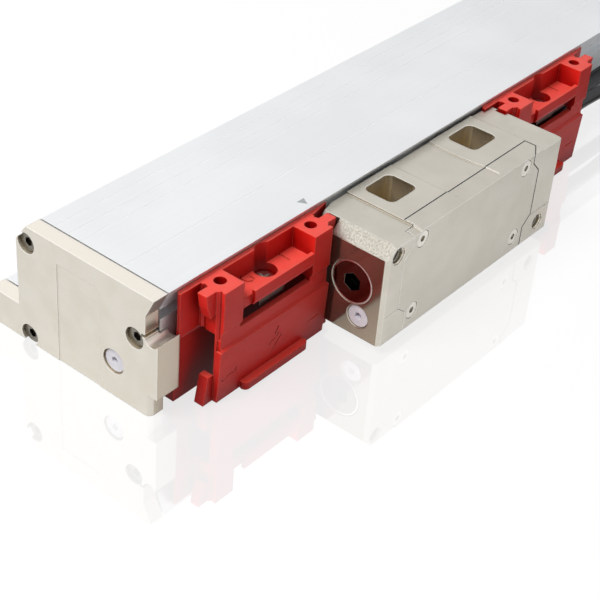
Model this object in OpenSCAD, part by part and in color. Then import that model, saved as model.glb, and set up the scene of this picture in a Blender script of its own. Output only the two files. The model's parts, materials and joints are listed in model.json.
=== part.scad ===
// Sealed linear glass scale, full-size section, with its scanning head held by two shipping braces.
// Millimetres. X runs along the measuring direction, Y towards the mounting flange, Z up from the
// mounting face. Depths are counted from the outer back wall towards the scanning head.

/* [Housing] */
// Measuring length of the scale
measuring_length = 240; // [140:100:1240]
// Length the housing adds to the measuring length
end_allowance = 158; // [130:1:180]
// Height of the section above the mounting face
body_h = 37; // [30:0.5:45]
// Depth from the outer back wall to the main front face
body_depth = 46; // [40:0.5:55]
// How far the upper front edge overhangs the front face
top_overhang = 2.8; // [0:0.1:5]
// Height of the sloping part under the upper front edge
slope_h = 5.9; // [3:0.1:8]
// Depth of the bevel on the top back edge
bevel_depth = 3.9; // [2:0.1:6]
// Height of the bevel on the top back edge
bevel_h = 5.4; // [2:0.1:8]
// How far the mounting flange stands out behind the back wall
flange_reach = 11.1; // [8:0.1:20]
// Height of the mounting flange
flange_h = 10.6; // [6:0.1:14]
// Setback of the front edge of the foot from the front of the housing
foot_setback = 5.5; // [4:0.5:9]
// Height of the lower front edge above the mounting face
lower_edge_z = 6.6; // [4:0.1:10]
// Fall of the underside from the lower front edge to the foot
underside_fall = 0.6; // [0:0.1:2]
// Lower side of the brace groove in the front face
groove_z0 = 27.4; // [24:0.1:29]
// Upper side of the brace groove in the front face
groove_z1 = 30.6; // [29:0.1:31]
// Depth of the brace groove
groove_depth = 3; // [2:0.1:4]
// Wall between the cavity and the back
back_wall = 6.5; // [5:0.1:8]
// Wall between the cavity and the front
front_wall = 4.5; // [4:0.1:6]
// Thickness of the floor of the cavity
floor_wall = 5.5; // [4:0.1:7]
// Thickness of the roof of the cavity
roof_wall = 4; // [3.5:0.1:6]
// Width of the thickened land that takes the front cap screw
screw_land = 5.6; // [5:0.1:8]
// How far that land stands into the cavity
screw_land_depth = 3; // [2:0.1:4]
// Height of the raised cavity corner at the lower front
corner_rise = 2.7; // [2:0.1:4]
// Width of the raised cavity corner at the lower front
corner_run = 4; // [2:0.1:6]
// Depth of the fine lines along the broad face
face_line_depth = 0.2; // [0.1:0.05:0.4]
// Width of the fine lines along the broad face
face_line_w = 0.5; // [0.2:0.1:1]
// Depth of the first fine line from the back wall
face_line_1 = 8.8; // [5:0.1:45]
// Depth of the second fine line from the back wall
face_line_2 = 13.8; // [5:0.1:45]
// Depth of the third fine line from the back wall
face_line_3 = 18.3; // [5:0.1:45]
// Depth of the fourth fine line from the back wall
face_line_4 = 33.3; // [5:0.1:45]
// Radius of the holes through the mounting flange
flange_hole_r = 3.3; // [2.5:0.1:4]
// Spacing of the holes through the mounting flange
flange_hole_step = 100; // [50:5:150]
// Distance of the flange holes behind the back wall
flange_hole_back = 5.6; // [4:0.1:8]

/* [Sealing slot] */
// Height of the slot centre above the mounting face
slot_z = 15.6; // [13:0.1:18]
// Half height of the slot through the front wall
slot_half = 3; // [2:0.1:4]
// Half height of the seat of the two lips
lip_seat_half = 4.2; // [3:0.1:6]
// Depth of the seat of the two lips
lip_seat_depth = 1.8; // [1:0.1:2.5]
// Half of the gap that the two lips leave for the blade
lip_gap_half = 0.75; // [0.6:0.05:1]
// Thickness of the lip at its tip
lip_tip = 0.5; // [0.3:0.1:1]
// Distance of the lip tip behind its seat
lip_reach = 1.8; // [1:0.1:3]

/* [End caps] */
// Thickness of the end cap plate
cap_t = 4.8; // [3:0.1:8]
// Length of the block that closes the sealing slot
block_len = 7.8; // [5:0.1:12]
// Depth of the block front from the back wall
block_depth = 50.3; // [48:0.1:53]
// Lower side of the block
block_z0 = 7; // [5:0.1:9]
// Upper side of the block
block_z1 = 23.8; // [20:0.1:25]
// Radius of the hollow along the top of the block
block_hollow_r = 2.3; // [1.5:0.1:3]
// Rise of the centre of that hollow above the block
block_hollow_rise = 1.1; // [0.5:0.1:2]
// Depth of the undercut behind that hollow
undercut_depth = 1.3; // [0.5:0.1:2]
// Height of the undercut
undercut_h = 1; // [0.5:0.1:1.5]
// Length of the cap foot
cap_foot_len = 5.3; // [4:0.1:7]
// Depth of the cap foot front from the front of the housing
cap_foot_depth_out = 1.9; // [0:0.1:4]
// Corner radius of the cap foot
cap_foot_r = 1.8; // [0.5:0.1:3]
// Thickness of the end gasket
gasket_t = 0.4; // [0.2:0.1:1]
// How far the gasket lies inside the outline of the cap
gasket_inset = 0.5; // [0.2:0.1:1.5]
// Radius of the counterbores for the cap screws
cap_bore_r = 3.1; // [2.9:0.05:3.6]
// Depth of the counterbores for the cap screws
cap_bore_depth = 3.6; // [3.2:0.1:4]
// Radius of the heads of the cap screws
cap_head_r = 2.75; // [2.5:0.05:2.9]
// Height of the heads of the cap screws
cap_head_h = 2.6; // [2:0.1:3]
// Radius of the shank of the cap screws
cap_shank_r = 1.25; // [1:0.05:1.5]
// Length of the shank of the cap screws
cap_shank_len = 12; // [8:1:16]
// Depth of the front cap screw from the back wall
cap_screw_front_d = 42.4; // [41:0.1:44]
// Height of the front cap screw
cap_screw_front_z = 22.6; // [20:0.1:24]
// Depth of the two back cap screws from the back wall
cap_screw_back_d = 3.7; // [3:0.1:5]
// Height of the upper back cap screw
cap_screw_top_z = 31.8; // [30:0.1:33]
// Height of the lower back cap screw
cap_screw_low_z = 2.4; // [2:0.1:4]
// Depth of the air plug from the back wall
air_plug_d = 35; // [30:0.5:38]
// Height of the air plug
air_plug_z = 11; // [10:0.1:14]
// Radius of the recess for the air plug
air_recess_r = 3.7; // [3:0.1:4.5]
// Depth of the recess for the air plug
air_recess_depth = 1.8; // [1:0.1:3]
// Radius of the head of the air plug
air_head_r = 3.3; // [2.5:0.1:3.6]
// Thickness of the head of the air plug
air_head_t = 1.2; // [0.8:0.1:1.6]
// Radius of the stem of the air plug
air_stem_r = 2.4; // [2:0.1:2.8]
// Depth from the back wall where the shallow face panel starts
panel_d0 = 14.9; // [10:0.1:20]
// Depth from the back wall where the shallow face panel ends
panel_d1 = 30; // [25:0.5:36]
// Height of the shallow face panel
panel_h = 31; // [25:0.5:34]
// Depth of the shallow face panel
panel_t = 0.2; // [0.1:0.05:0.4]

/* [Glass scale] */
// Thickness of the glass scale
glass_t = 5; // [3:0.5:6]
// Distance of the back of the glass from the back wall
glass_d = 19.5; // [15:0.5:25]
// Height of the lower edge of the glass
glass_z0 = 12; // [10:0.5:15]
// How far the glass stands into the roof
glass_seat = 1.4; // [0.5:0.1:2]
// Length of the glass beyond the measuring length
glass_extra = 120; // [60:5:140]
// Thickness of the elastic bead beside the glass
bead_t = 0.5; // [0.3:0.1:1]
// Height of the two ribs that hold the beads
rib_h = 3; // [2:0.1:4]
// Thickness of the two ribs that hold the beads
rib_t = 2; // [1:0.1:3]

/* [Scanning head] */
// Distance of the near end of the head from the left end of the scale
head_x0 = 60.4; // [55:0.1:70]
// Length of the head
head_len = 84.6; // [75:0.1:95]
// Depth of the back face of the head from the front of the housing
head_d0_out = 2.6; // [2:0.1:4]
// Depth of the front face of the head from the front of the housing
head_d1_out = 28; // [24:0.1:34]
// Height of the underside of the head
head_z0 = 3; // [1:0.1:6]
// Height of the end lands of the head
head_z1 = 34.3; // [32:0.1:36]
// Height of the two pads above the end lands
pad_rise = 0.5; // [0.3:0.1:1.5]
// Drop of the middle land below the pads
middle_drop = 0.3; // [0.2:0.1:0.5]
// Distance of the first pad from the near end
pad_x0 = 14.1; // [10:0.1:20]
// Distance from the near end where the middle land starts
middle_x0 = 34; // [30:0.5:40]
// Distance from the near end where the middle land ends
middle_x1 = 52.6; // [48:0.1:58]
// Distance from the near end where the second pad ends
pad_x1 = 73.6; // [68:0.1:80]
// Radius of the curved edge of the middle land
middle_edge_r = 48; // [30:1:90]
// Size of the bevel on the near top end
near_bevel = 3.4; // [2:0.1:5]
// Size of the small bevels of the head
small_bevel = 1; // [0.5:0.1:2]
// Width of the bevel along the top front edge
edge_w = 2; // [0.5:0.1:3]
// Drop of the bevel along the top front edge
edge_h = 0.5; // [0.2:0.1:1]
// Distance of the first screw pocket from the near end
pocket_x = 24.1; // [20:0.1:30]
// Spacing of the two screw pockets
pocket_step = 39.2; // [35:0.1:45]
// Depth of the screw pockets from the front of the housing
pocket_d_out = 10; // [9:0.1:11]
// Length of a screw pocket
pocket_l = 11.6; // [9:0.1:12]
// Width of a screw pocket
pocket_w = 10.2; // [9:0.1:11]
// Corner radius of a screw pocket
pocket_r = 2; // [1:0.1:4]
// Height of the pocket floor above the underside
pocket_floor = 12; // [6:0.5:20]
// Radius of the mounting holes under the pockets
mount_hole_r = 2.75; // [2.6:0.05:3.3]
// Distance of the near threaded hole from the near end
thread_x0 = 4.5; // [3:0.1:8]
// Height of the near threaded hole
thread_z0 = 30.8; // [26:0.1:31]
// Distance of the far threaded hole from the near end
thread_x1 = 78.2; // [74:0.1:82]
// Height of the far threaded hole
thread_z1 = 7.3; // [6:0.1:12]
// Radius of the threaded holes
thread_r = 2.3; // [1.5:0.05:2.4]
// Depth of the threaded holes
thread_depth = 9; // [6:0.5:12]
// Radius of the bevel at the mouth of the threaded holes
thread_mouth_r = 2.65; // [2.5:0.05:3]
// Depth of the bevel at the mouth of the threaded holes
thread_mouth_h = 0.5; // [0.2:0.1:1]
// Thickness of the front cover
cover_t = 3; // [2:0.1:4]
// Distance of the cover from the near end
cover_x0 = 7.4; // [5:0.1:12]
// Distance of the far side of the cover from the near end
cover_x1 = 73; // [68:0.1:78]
// Size of the stepped corners of the cover
cover_corner = 3.6; // [2:0.1:5]
// Height above the mounting face where the lower corners end
cover_low_z = 9.4; // [7:0.1:12]
// Height above the mounting face where the upper corners start
cover_high_z = 31.3; // [28:0.1:32]
// Width of the part of the cover that lies on top
cover_lip = 6; // [4:0.1:9]
// Gap of the seam round the cover
seam = 0.2; // [0.1:0.05:0.4]
// Height of the fine seam towards the far lower corner
corner_seam_z = 12; // [10:0.1:14]
// Thickness of the cover gasket
cover_gasket_t = 0.6; // [0.3:0.1:1]
// Radius of the heads of the cover screws
cover_head_r = 2.45; // [2.3:0.05:2.6]
// Depth of the heads of the cover screws
cover_head_h = 2; // [1.5:0.1:2.5]
// Radius of the shank of the cover screws
cover_shank_r = 1.2; // [1:0.05:1.5]
// Length of the shank of the cover screws
cover_shank_len = 7; // [5:0.5:10]
// Distance of the near cover screws from the near end
cover_screw_x0 = 14.5; // [13.5:0.1:16]
// Distance of the far cover screws from the near end
cover_screw_x1 = 65; // [60:0.1:69]
// Distance that the upper cover screws sit further along than the lower ones
cover_screw_shift = 0.7; // [0:0.1:1]
// Height of the upper cover screws
cover_screw_z1 = 31.2; // [29:0.1:31.3]
// Height of the lower cover screws
cover_screw_z0 = 8; // [7:0.1:10]
// Radius of the round blanking plug
plug_r = 6.6; // [5:0.1:8]
// Thickness of the flange of the blanking plug
plug_flange = 2; // [1:0.1:3]
// Radius of the stem of the blanking plug
plug_stem_r = 5.2; // [4:0.1:6]
// Length of the stem of the blanking plug
plug_stem_len = 6; // [4:0.5:9]
// Depth of the blanking plug from the front of the housing
plug_d_out = 17.3; // [15:0.1:20]
// Height of the blanking plug
plug_z = 19.4; // [16:0.1:22]
// Width across flats of the plug socket
plug_socket = 5; // [4:0.5:6]
// Depth of the plug socket
plug_socket_depth = 3; // [2:0.5:5]
// Depth of the small air plug of the head from the front of the housing
head_air_d_out = 20.2; // [17:0.1:22]
// Height of the small air plug of the head
head_air_z = 9.4; // [7:0.1:12]
// Length of the notches for the hooks at the near end
near_notch = 3.3; // [2.8:0.1:4]
// Length of the notches for the hooks at the far end
far_notch = 2.2; // [1.7:0.1:3]
// Depth of the room behind the head for the plates of the braces
plate_room = 1.15; // [1.1:0.05:1.3]
// Length of that room at the near end
near_relief = 7.5; // [7:0.1:9]
// Length of that room at the far end
far_relief = 5.2; // [5:0.1:6]
// Wall left between the chamber and the screw pockets
chamber_wall = 1.6; // [1:0.1:3]
// Distance of the chamber from the near end
chamber_x0 = 18.5; // [17.5:0.5:20]
// Distance of the far side of the chamber from the near end
chamber_x1 = 61; // [58:0.5:62]
// Margin between the chamber and the underside
chamber_floor = 3.4; // [2:0.1:8]
// Margin between the chamber and the top
chamber_roof = 5.4; // [3:0.1:8]
// Length of the circuit board in the head
board_l = 38; // [34:1:39]
// Height of the circuit board in the head
board_h = 18; // [10:1:20]
// Thickness of the circuit board
board_t = 1.6; // [1:0.1:2]
// Distance of the first chip from the end of the board
chip_x0 = 6; // [2:1:10]
// Distance of the second chip from the end of the board
chip_x1 = 22; // [18:1:24]
// Length of the chips
chip_l = 9; // [5:0.5:10]
// Height of the chips
chip_h = 9; // [4:0.5:12]
// Thickness of the chips
chip_t = 1.5; // [1:0.1:2.5]

/* [Blade and carriage] */
// Thickness of the coupling blade
blade_t = 1; // [0.8:0.1:1.2]
// Length of the blade along the scale
blade_l = 25; // [15:1:40]
// Depth of the blade root from the front of the housing
blade_d1_out = 11; // [8:0.5:14]
// Depth of the inner end of the blade from the back wall
blade_d0 = 34; // [33:0.5:38]
// Spacing of the two screws that hold the blade
blade_screw_step = 14; // [8:1:20]
// Radius of the shank of the blade screws
blade_shank_r = 1.25; // [1:0.05:1.5]
// Radius of the heads of the blade screws
blade_head_r = 2.5; // [2:0.05:2.8]
// Length of the carriage
carriage_l = 50; // [40:1:70]
// Gap between the carriage legs and the glass
leg_gap = 1.8; // [1.5:0.1:3]
// Thickness of the carriage legs
leg_t = 4.2; // [3:0.1:5]
// Height of the top of the front leg
leg_top = 29; // [26:0.5:30]
// Height of the top of the back leg
back_leg_top = 26; // [20:0.5:29]
// Clearance under the carriage
carriage_under = 1.4; // [1:0.1:3]
// Thickness of the web that joins the legs
web_t = 2.6; // [2:0.1:4]
// Radius of the ball bearing rollers
roller_r = 3; // [2:0.25:4]
// Width of the ball bearing rollers
roller_w = 2.4; // [2:0.1:3]
// Radius of the roller pins
pin_r = 0.8; // [0.5:0.05:1]
// Running clearance of the rollers on their pins
pin_play = 0.06; // [0.02:0.01:0.1]
// Gap between the rollers and the glass
roller_gap = 0.3; // [0.1:0.05:0.4]
// Distance of the end rollers from the middle of the carriage
roller_span = 20; // [15:0.5:24]
// Height of the upper face rollers
roller_high_z = 25.4; // [22:0.1:27]
// Height of the lower face roller
roller_low_z = 18.6; // [16:0.1:20]
// Thickness of the scanning reticle
reticle_t = 1; // [0.5:0.1:1.5]
// Length of the scanning reticle
reticle_l = 12; // [8:0.5:16]
// Height of the scanning reticle
reticle_h = 6; // [4:0.5:8]
// Radius of the lamp
lamp_r = 2.2; // [1.5:0.1:3]
// Length of the lamp
lamp_l = 6; // [3:0.5:8]
// Thickness of the detector board
detector_t = 1.2; // [0.8:0.1:1.6]
// Length of the detector board
detector_l = 22; // [12:1:30]
// Height of the detector board
detector_h = 9; // [6:0.5:12]
// Thickness of the coupling spring
spring_t = 0.5; // [0.3:0.1:1]
// Length of the coupling spring
spring_l = 18; // [10:1:24]
// Height of the coupling spring
spring_h = 3.6; // [2:0.1:5]

// Distance of the optical window from the middle of the carriage
window_x = 8; // [5:0.5:10]
// Length of the optical window
window_l = 10; // [6:0.5:12]
// Height of the lower side of the optical window
window_low = 18; // [16:0.5:20]
// Height of the optical window
window_h = 5; // [3:0.5:6]

/* [Shipping braces] */
// Gap between the left brace and the near end of the head
brace_left_gap = 1.55; // [1:0.05:2]
// Gap between the far end of the head and the right brace
brace_right_gap = 2.45; // [2:0.05:4]
// Half length of the brace body
brace_half = 21.55; // [20:0.05:23]
// Half length of the plate that lies on the housing
plate_half = 28.8; // [26:0.1:29]
// Half length of the foot of the front plate
foot_half = 21.5; // [21:0.05:23]
// Reach of the hooks beyond the body
hook_reach = 3.6; // [2:0.1:4]
// How far the front of the brace is set back at each end
front_set_back = 0.6; // [0.2:0.1:1]
// Length of the two towers along the scale
tower_l = 7.75; // [6:0.05:10]
// Depth of the front of the brace from the front of the housing
brace_front_out = 11; // [9:0.1:13]
// Depth of the inner side of the front plate from the front of the housing
brace_inner_out = 8.7; // [8:0.1:10]
// Height of the underside of the brace
brace_z0 = 0.3; // [0.1:0.1:1]
// Height of the top of the towers
brace_z1 = 35; // [33:0.1:36]
// Clearance between the brace and the housing
brace_clear = 0.15; // [0.1:0.05:0.3]
// Thickness of the plate that lies on the housing
plate_t = 1.8; // [1:0.1:2]
// Thickness of the upper part of that plate, which stands off the housing
plate_top_t = 1.5; // [1:0.1:2]
// Length of the bevels on the ends of that plate
plate_bevel = 2.3; // [1:0.1:3]
// Height of the underside of the towers
tower_z0 = 23; // [21:0.5:26]
// Radius of the holes in the towers
tower_hole_r = 1.7; // [1:0.1:2.5]
// Depth of the tower holes from the front of the housing
tower_hole_d_out = 6.2; // [5:0.1:7]
// Distance of the tower holes from the brace middle
tower_hole_x = 17.5; // [16:0.1:19]
// Height of the platform between the towers
deck_z = 28.6; // [27:0.1:30]
// Thickness of the platform
deck_t = 3; // [2:0.1:4]
// Rise of the rib along the front of the platform
deck_rib_rise = 1.4; // [0.5:0.1:2.5]
// Width of the rib along the front of the platform
deck_rib_w = 1.1; // [0.8:0.1:2]
// Height of the front face of that rib
deck_rib_h = 2.9; // [2:0.1:4]
// Length of the notch at the near end of the platform rib
deck_notch = 4.4; // [2:0.1:6]
// Radius of the screw well in the platform
well_r = 3.2; // [3:0.05:3.6]
// Depth of the screw well from the front of the housing
well_d_out = 5.4; // [5:0.1:6]
// Distance of the screw well from the brace middle
well_x = 0.9; // [0:0.1:2]
// Height of the seat of the clamp screw head
well_seat_z = 24.4; // [23:0.1:26]
// Wall round the screw well under the platform
collar_wall = 0.9; // [0.6:0.1:1.2]
// Height of the underside of that wall
collar_z0 = 23.4; // [22.5:0.1:24]
// Height of the lower side of the window in the front plate
window_z0 = 20.8; // [18:0.1:22]
// Height of the step across the front plate
step_z = 16.6; // [14:0.1:18]
// Depth of the relief above that step
step_relief = 0.7; // [0.2:0.1:1.5]
// Fall of the front plate towards its foot
front_fall = 0.8; // [0.2:0.1:1.5]
// Length of the lip along the foot of the front plate
foot_lip_l = 25.6; // [15:0.1:35]
// Height of the lip along the foot of the front plate
foot_lip_h = 2.3; // [2:0.1:5]
// Reach of the lip along the foot of the front plate
foot_lip_reach = 1.5; // [0.5:0.1:3]
// Depth of the hooks from the front of the housing
hook_d0_out = 5.7; // [5:0.1:6.5]
// Thickness of the hooks
hook_t = 3; // [2:0.1:4]
// Height of the top hooks
top_hook_h = 7.6; // [5:0.1:9]
// Taper of the top hooks
top_hook_taper = 1.9; // [0.5:0.1:3]
// Height of the bottom hooks
low_hook_h = 8.4; // [5:0.1:10]
// Reach of the bottom hooks at their foot
low_hook_reach = 3.5; // [2:0.1:4]
// Taper of the bottom hooks
low_hook_taper = 1.6; // [0:0.1:2.5]
// Depth of the tongue in the housing groove
tongue_depth = 2.5; // [1:0.1:2.8]
// Height of the tongue in the housing groove
tongue_h = 2.4; // [1:0.1:2.8]
// Depth of the catch under the housing edge
catch_depth = 1.5; // [0.5:0.1:3]
// Height of the catch under the housing edge
catch_h = 5.2; // [3:0.1:5.5]
// Radius of the head of the clamp screw
clamp_head_r = 2.75; // [2.3:0.05:3]
// Height of the head of the clamp screw
clamp_head_h = 1.9; // [1.5:0.1:2.5]
// Radius of the shank of the clamp screw
clamp_shank_r = 1.25; // [1:0.05:1.5]
// Length of the clamp nut plate
nut_l = 9.5; // [7:0.1:12]
// Width of the clamp nut plate
nut_w = 5; // [4:0.1:5.1]
// Thickness of the clamp nut plate
nut_t = 1.5; // [1.2:0.1:2.5]
// Distance of the nut plate from the brace middle
nut_x = 0.2; // [0:0.1:1]
// Depth of the moulded guide marks
mark_t = 0.3; // [0.1:0.1:0.5]
// Width of the strokes of the guide marks
mark_w = 0.45; // [0.3:0.05:0.8]

/* [Cable] */
// Radius of the cable
cable_r = 2.1; // [1.5:0.1:2.2]
// Depth of the cable outlet from the front of the housing
cable_d_out = 6.2; // [6:0.1:6.4]
// Height of the cable outlet
cable_z = 16.4; // [15:0.1:18]
// Radius of the outermost turn of the coil
coil_r = 29.6; // [26:0.2:40]
// Turns in the lower layer of the coil, with one fewer above
coil_turns = 3; // [2:1:4]
// Gap between neighbouring turns
turn_gap = 0.2; // [0.1:0.05:0.4]
// Radius of the clamp ferrule on the cable
ferrule_r = 2.8; // [2.4:0.1:3]
// Length of the clamp ferrule
ferrule_l = 4; // [3:0.5:5]
// Distance of the ferrule behind the outlet
ferrule_in = 12; // [10:0.5:13]
// Radius of the body of the connector
connector_r = 10.5; // [8:0.5:11]
// Length of the body of the connector
connector_l = 36; // [30:1:45]
// Radius of the coupling ring of the connector
ring_r = 13; // [12.8:0.1:15]
// Length of the coupling ring
ring_l = 19; // [12:1:22]
// Radius of the clamping nut at the back of the connector
nut_r = 12.6; // [11:0.1:12.8]
// Length of the clamping nut
nut_len = 11; // [8:1:14]
// Radius of the rear end of the connector
rear_r = 6; // [4:0.5:8]
// Length of the rear part of the connector
rear_l = 12; // [8:1:20]
// Radius of the contact circle
contact_circle_r = 5.6; // [4:0.1:7]
// Radius of a contact
contact_r = 0.5; // [0.3:0.1:0.8]
// Length of a contact
contact_l = 4; // [2:0.5:5]
// Running clearance of the coupling ring
ring_play = 0.08; // [0.02:0.01:0.1]
// Radius of the grooves round the coupling ring
grip_r = 1.2; // [0.8:0.1:1.6]
// Number of grips round the coupling ring
ring_grips = 18; // [8:1:30]
// Number of contacts in the connector
contact_count = 12; // [4:1:17]

/* [Hidden] */
fine = 48;
coarse = 32;
eps = 0.01;
back_y = 15;
head_d0 = body_depth + head_d0_out;
head_d1 = body_depth + head_d1_out;
pocket_d = body_depth + pocket_d_out;
plug_d = body_depth + plug_d_out;
head_air_d = body_depth + head_air_d_out;
brace_front = body_depth + brace_front_out;
brace_inner = body_depth + brace_inner_out;
tower_hole_d = body_depth + tower_hole_d_out;
well_d = body_depth + well_d_out;
hook_d0 = body_depth + hook_d0_out;
cable_d = body_depth + cable_d_out;
cap_foot_depth = body_depth + cap_foot_depth_out;
blade_d1 = body_depth + blade_d1_out;
foot_depth = body_depth - foot_setback;
total_l = measuring_length + end_allowance;
x_left = -total_l / 2;
x_right = total_l / 2;
bar_x0 = x_left + cap_t + gasket_t;
bar_x1 = x_right - cap_t - gasket_t;
slope_z = body_h - slope_h;
top_front = body_depth + top_overhang;
cavity_d1 = body_depth - front_wall;
cavity_z1 = body_h - roof_wall;
glass_d1 = glass_d + glass_t;
glass_z1 = cavity_z1 + glass_seat;
hx0 = x_left + head_x0;
hx1 = hx0 + head_len;
hxm = hx0 + pocket_x + pocket_step / 2;
pad_z = head_z1 + pad_rise;
cover_back = head_d1 - cover_t;
chamber_d0 = pocket_d + pocket_w / 2 + chamber_wall;
blade_z0 = slot_z - blade_t / 2;
leg_d0 = glass_d1 + leg_gap;
leg_d1 = leg_d0 + leg_t;
back_leg_d1 = glass_d - leg_gap;
back_leg_d0 = back_leg_d1 - leg_t;
carriage_z0 = floor_wall + carriage_under;
face_roller_d = glass_d1 + roller_gap + roller_r;
edge_roller_z = glass_z0 - roller_gap - roller_r;
edge_roller_d = glass_d + glass_t / 2;
plate_d0 = body_depth + brace_clear;
plate_d1 = plate_d0 + plate_t;
slope_clear = plate_d0 + (brace_z1 - slope_z) * top_overhang / slope_h;
bl_x = hx0 - brace_left_gap - brace_half;
br_x = hx1 + brace_right_gap + brace_half;
cable_y = back_y - cable_d;
floor_gap = 0.1;
turn_step = 2 * cable_r + turn_gap;
turn_rise = turn_step * sqrt(3) / 2;
con_z = ring_r + floor_gap;

// Cable routes, in millimetres, chosen by hand
coil_x = 56;
coil_y = -72;
con_x = 33;
con_y = -110;
lead_points = [[-62, -37.2, 16.4], [-36, -37.2, 16.4], [-12, -37.2, 16.4], [2, -37.3, 16.4], [14, -38, 15.8],
  [25, -39.4, 12.4], [35, -41, 7.6], [45, -42.2, 3.6], [56, -42.4, 2.2]];
tail_points = [[70, -95.4, 6], [58, -102, 7.6], [46, -107, 10.6], [33, -110, 13.1]];

// ---------- helpers ----------
module bar(x0, x1) {
  translate([x0, back_y, 0]) mirror([0, 1, 0]) rotate([90, 0, 90])
    linear_extrude(height = x1 - x0) children();
}
module slab(x0, x1, d0, d1, z0, z1) {
  translate([x0, back_y - d1, z0]) cube([x1 - x0, d1 - d0, z1 - z0]);
}
module rod_x(x0, x1, d, z, r, n = fine) {
  translate([x0, back_y - d, z]) rotate([0, 90, 0]) cylinder(h = x1 - x0, r = r, $fn = n);
}
module rod_d(x, d0, d1, z, r, n = fine) {
  translate([x, back_y - d0, z]) rotate([90, 0, 0]) cylinder(h = d1 - d0, r = r, $fn = n);
}
module rod_z(x, d, z0, z1, r, n = fine) {
  translate([x, back_y - d, z0]) cylinder(h = z1 - z0, r = r, $fn = n);
}
module rounded(l, w, r) {
  square([l - 2 * r, w], center = true);
  square([l, w - 2 * r], center = true);
  for (i = [-1, 1]) for (j = [-1, 1])
    translate([i * (l / 2 - r), j * (w / 2 - r)]) circle(r = r, $fn = fine);
}
// A shape drawn in x and depth, raised along z
module flat(z0, z1) {
  translate([0, back_y, z0]) mirror([0, 1, 0]) linear_extrude(height = z1 - z0) children();
}
// A shape drawn in x and z, raised along the depth
module upright(d0, d1) {
  translate([0, back_y - d0, 0]) rotate([90, 0, 0]) linear_extrude(height = d1 - d0) children();
}

// ---------- cable tube ----------
tube_sides = 10;
function spline(p, i, t) =
  let (a = p[max(i - 1, 0)], b = p[i], c = p[i + 1], d = p[min(i + 2, len(p) - 1)])
  0.5 * ((2 * b) + (c - a) * t + (2 * a - 5 * b + 4 * c - d) * t * t
    + (3 * b - a - 3 * c + d) * t * t * t);
function route(p, m) = concat(
  [for (i = [0 : len(p) - 2]) for (k = [0 : m - 1]) spline(p, i, k / m)], [p[len(p) - 1]]);
function unit(v) = v / norm(v);
function heading(q, i) = unit(q[min(i + 1, len(q) - 1)] - q[max(i - 1, 0)]);
function ring_pts(c, h, r) =
  let (s = unit(cross(h, [0, 0, 1])), u = cross(s, h))
  [for (k = [0 : tube_sides - 1]) c + r * (cos(360 * k / tube_sides) * s + sin(360 * k / tube_sides) * u)];
module tube(p, r, m, first_heading, last_heading) {
  q = route(p, m);
  n = len(q);
  pts = [for (i = [0 : n - 1])
    each ring_pts(q[i], i == 0 ? first_heading : i == n - 1 ? last_heading : heading(q, i), r)];
  sides = [for (i = [0 : n - 2]) for (k = [0 : tube_sides - 1])
    let (a = i * tube_sides + k, b = i * tube_sides + (k + 1) % tube_sides)
    each [[a, a + tube_sides, b], [b, a + tube_sides, b + tube_sides]]];
  first = [[for (k = [0 : tube_sides - 1]) k]];
  last = [[for (k = [0 : tube_sides - 1]) (n - 1) * tube_sides + tube_sides - 1 - k]];
  polyhedron(points = pts, faces = concat(sides, first, last), convexity = 6);
}

// ---------- housing ----------
module section_outline(fd = foot_depth) {
  polygon([[-flange_reach, 0], [fd, 0], [fd, lower_edge_z - underside_fall],
    [body_depth, lower_edge_z], [body_depth, slope_z], [top_front, body_h],
    [bevel_depth, body_h], [0, body_h - bevel_h], [0, flange_h], [-flange_reach, flange_h]]);
}
module face_line(d) {
  translate([d, body_h]) polygon([[-face_line_w / 2, eps], [face_line_w / 2, eps], [0, -face_line_depth]]);
}
module cavity_outline() {
  land_z0 = cap_screw_front_z - screw_land / 2;
  land_z1 = cap_screw_front_z + screw_land / 2;
  land_d = cavity_d1 - screw_land_depth;
  polygon([[back_wall, floor_wall], [cavity_d1 - corner_run, floor_wall],
    [cavity_d1 - corner_run / 2, floor_wall + corner_rise], [cavity_d1, floor_wall + corner_rise],
    [cavity_d1, land_z0 - screw_land_depth / 2], [land_d, land_z0], [land_d, land_z1],
    [cavity_d1, land_z1 + screw_land_depth / 2], [cavity_d1, cavity_z1],
    [glass_d1 + bead_t + rib_t, cavity_z1], [glass_d1 + bead_t + rib_t, cavity_z1 - rib_h],
    [glass_d1 + bead_t, cavity_z1 - rib_h], [glass_d1 + bead_t, glass_z1],
    [glass_d - bead_t, glass_z1], [glass_d - bead_t, cavity_z1 - rib_h],
    [glass_d - bead_t - rib_t, cavity_z1 - rib_h], [glass_d - bead_t - rib_t, cavity_z1],
    [back_wall, cavity_z1]]);
}
module housing() color("#e2e5e8") {
  difference() {
    bar(bar_x0, bar_x1) difference() {
      section_outline();
      translate([body_depth - groove_depth, groove_z0]) square([groove_depth + 1, groove_z1 - groove_z0]);
      cavity_outline();
      translate([cavity_d1 - 1, slot_z - slot_half]) square([front_wall + 2, 2 * slot_half]);
      translate([body_depth - lip_seat_depth, slot_z - lip_seat_half])
        square([lip_seat_depth + 1, 2 * lip_seat_half]);
      for (d = [face_line_1, face_line_2, face_line_3, face_line_4]) face_line(d);
    }
    for (k = [-1.5, -0.5, 0.5, 1.5])
      rod_z(k * flange_hole_step, -flange_hole_back, -1, flange_h + 1, flange_hole_r);
    for (p = cap_screw_places) for (x = [bar_x0 - 1, bar_x1 + 1 - cap_shank_len])
      rod_x(x, x + cap_shank_len, p[0], p[1], cap_shank_r);
  }
}
cap_screw_places = [[cap_screw_front_d, cap_screw_front_z], [cap_screw_back_d, cap_screw_top_z],
  [cap_screw_back_d, cap_screw_low_z]];

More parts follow.
